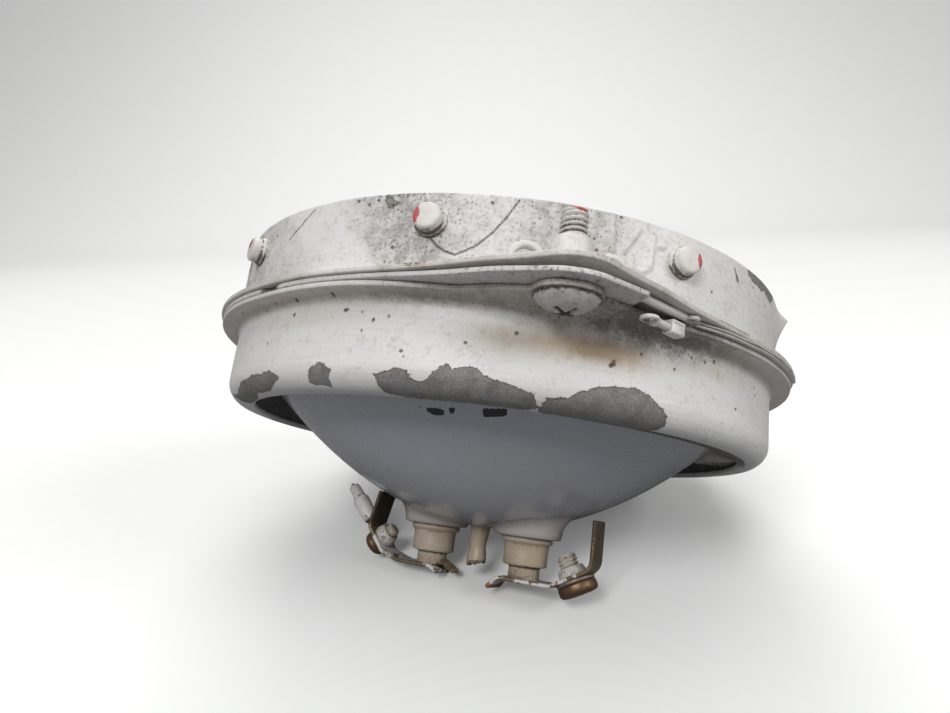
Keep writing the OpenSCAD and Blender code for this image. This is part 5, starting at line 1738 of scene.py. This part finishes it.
class LightOperator:
    """Shared by the operators: each builds its pieces once."""
    bl_options = {"REGISTER", "UNDO"}
    builds = ()

    def execute(self, context):
        for build in self.builds:
            build()
        return {"FINISHED"}


class LIGHT_OT_mounting_ring(LightOperator, bpy.types.Operator):
    """Build the mounting ring with its riveted band"""
    bl_idname = "landing_light.mounting_ring"
    bl_label = "Mounting Ring"
    builds = (mounting_ring, band_rivets)


class LIGHT_OT_lamp_ring(LightOperator, bpy.types.Operator):
    """Build the rear lamp ring, the split clamp ring and its folded strap"""
    bl_idname = "landing_light.lamp_ring"
    bl_label = "Rear Rings"
    builds = (lamp_ring, clamp_ring, edge_strap)


class LIGHT_OT_fasteners(LightOperator, bpy.types.Operator):
    """Build the anchor nuts, the clamp screws, the pull pin and its knuckle"""
    bl_idname = "landing_light.fasteners"
    bl_label = "Fasteners"
    builds = (anchor_nuts, ring_screws, latch_pin, latch_knuckle)


class LIGHT_OT_sealed_lamp(LightOperator, bpy.types.Operator):
    """Build the bowl, the lens, the mirror lining, the filament, its posts and the exhaust tip"""
    bl_idname = "landing_light.sealed_lamp"
    bl_label = "Sealed Lamp"
    builds = (glass_bowl, lens, reflector, filament, exhaust_tip)


def both_terminals():
    for side, name in ((-1, "left"), (1, "right")):
        ferrule(side, name + "_cream_ferrule", name + "_ferrule")
        terminal_strip(side, name + "_bent_strip", name + "_strip")
        terminal_screw(side, name + "_slotted_screw", name + "_screw", name + "_screw")
        terminal_washer(side, name + "_worn_washer", name + "_washer", "lamp")
        terminal_nut(side, name + "_collar_nut", name + "_nut")


class LIGHT_OT_terminals(LightOperator, bpy.types.Operator):
    """Build the ferrules, the bent strips, their screws, washers and nuts, the cut wire and the braid"""
    bl_idname = "landing_light.terminals"
    bl_label = "Terminals"
    builds = (both_terminals, cut_wire, frayed_braid)


class LIGHT_OT_carried(LightOperator, bpy.types.Operator):
    """Give the construction pieces that keep their own shape their finishes"""
    bl_idname = "landing_light.carried"
    bl_label = "Inner Pieces"
    builds = (carried_nodes,)


class LIGHT_OT_stage(LightOperator, bpy.types.Operator):
    """Build the floor, the lights and the camera"""
    bl_idname = "landing_light.stage"
    bl_label = "Stage"
    builds = (stage,)


OPERATORS = (LIGHT_OT_mounting_ring, LIGHT_OT_lamp_ring, LIGHT_OT_fasteners, LIGHT_OT_sealed_lamp,
             LIGHT_OT_terminals, LIGHT_OT_carried, LIGHT_OT_stage)


class LIGHT_PT_panel(bpy.types.Panel):
    """Sizes, colours and build steps of the landing light"""
    bl_label = "Landing Light"
    bl_idname = "LIGHT_PT_panel"
    bl_space_type = "VIEW_3D"
    bl_region_type = "UI"
    bl_category = "Landing Light"

    def draw(self, context):
        layout = self.layout
        for operator in OPERATORS:
            layout.operator(operator.bl_idname)
        for name, group in GROUPS.items():
            box = layout.box()
            box.label(text=name.replace("_", " ").capitalize())
            for key in group.__annotations__:
                box.prop(getattr(context.scene, name), key)


def register():
    for kind in (*GROUPS.values(), *OPERATORS, LIGHT_PT_panel):
        bpy.utils.register_class(kind)
    for name, group in GROUPS.items():
        setattr(bpy.types.Scene, name, PointerProperty(type=group))


def unregister():
    for name in GROUPS:
        delattr(bpy.types.Scene, name)
    for kind in reversed((*GROUPS.values(), *OPERATORS, LIGHT_PT_panel)):
        bpy.utils.unregister_class(kind)


def main():
    """Builds the whole scene."""
    register()
    for operator in OPERATORS:
        group, name = operator.bl_idname.split(".")
        getattr(getattr(bpy.ops, group), name)()


if __name__ == "__main__":
    main()
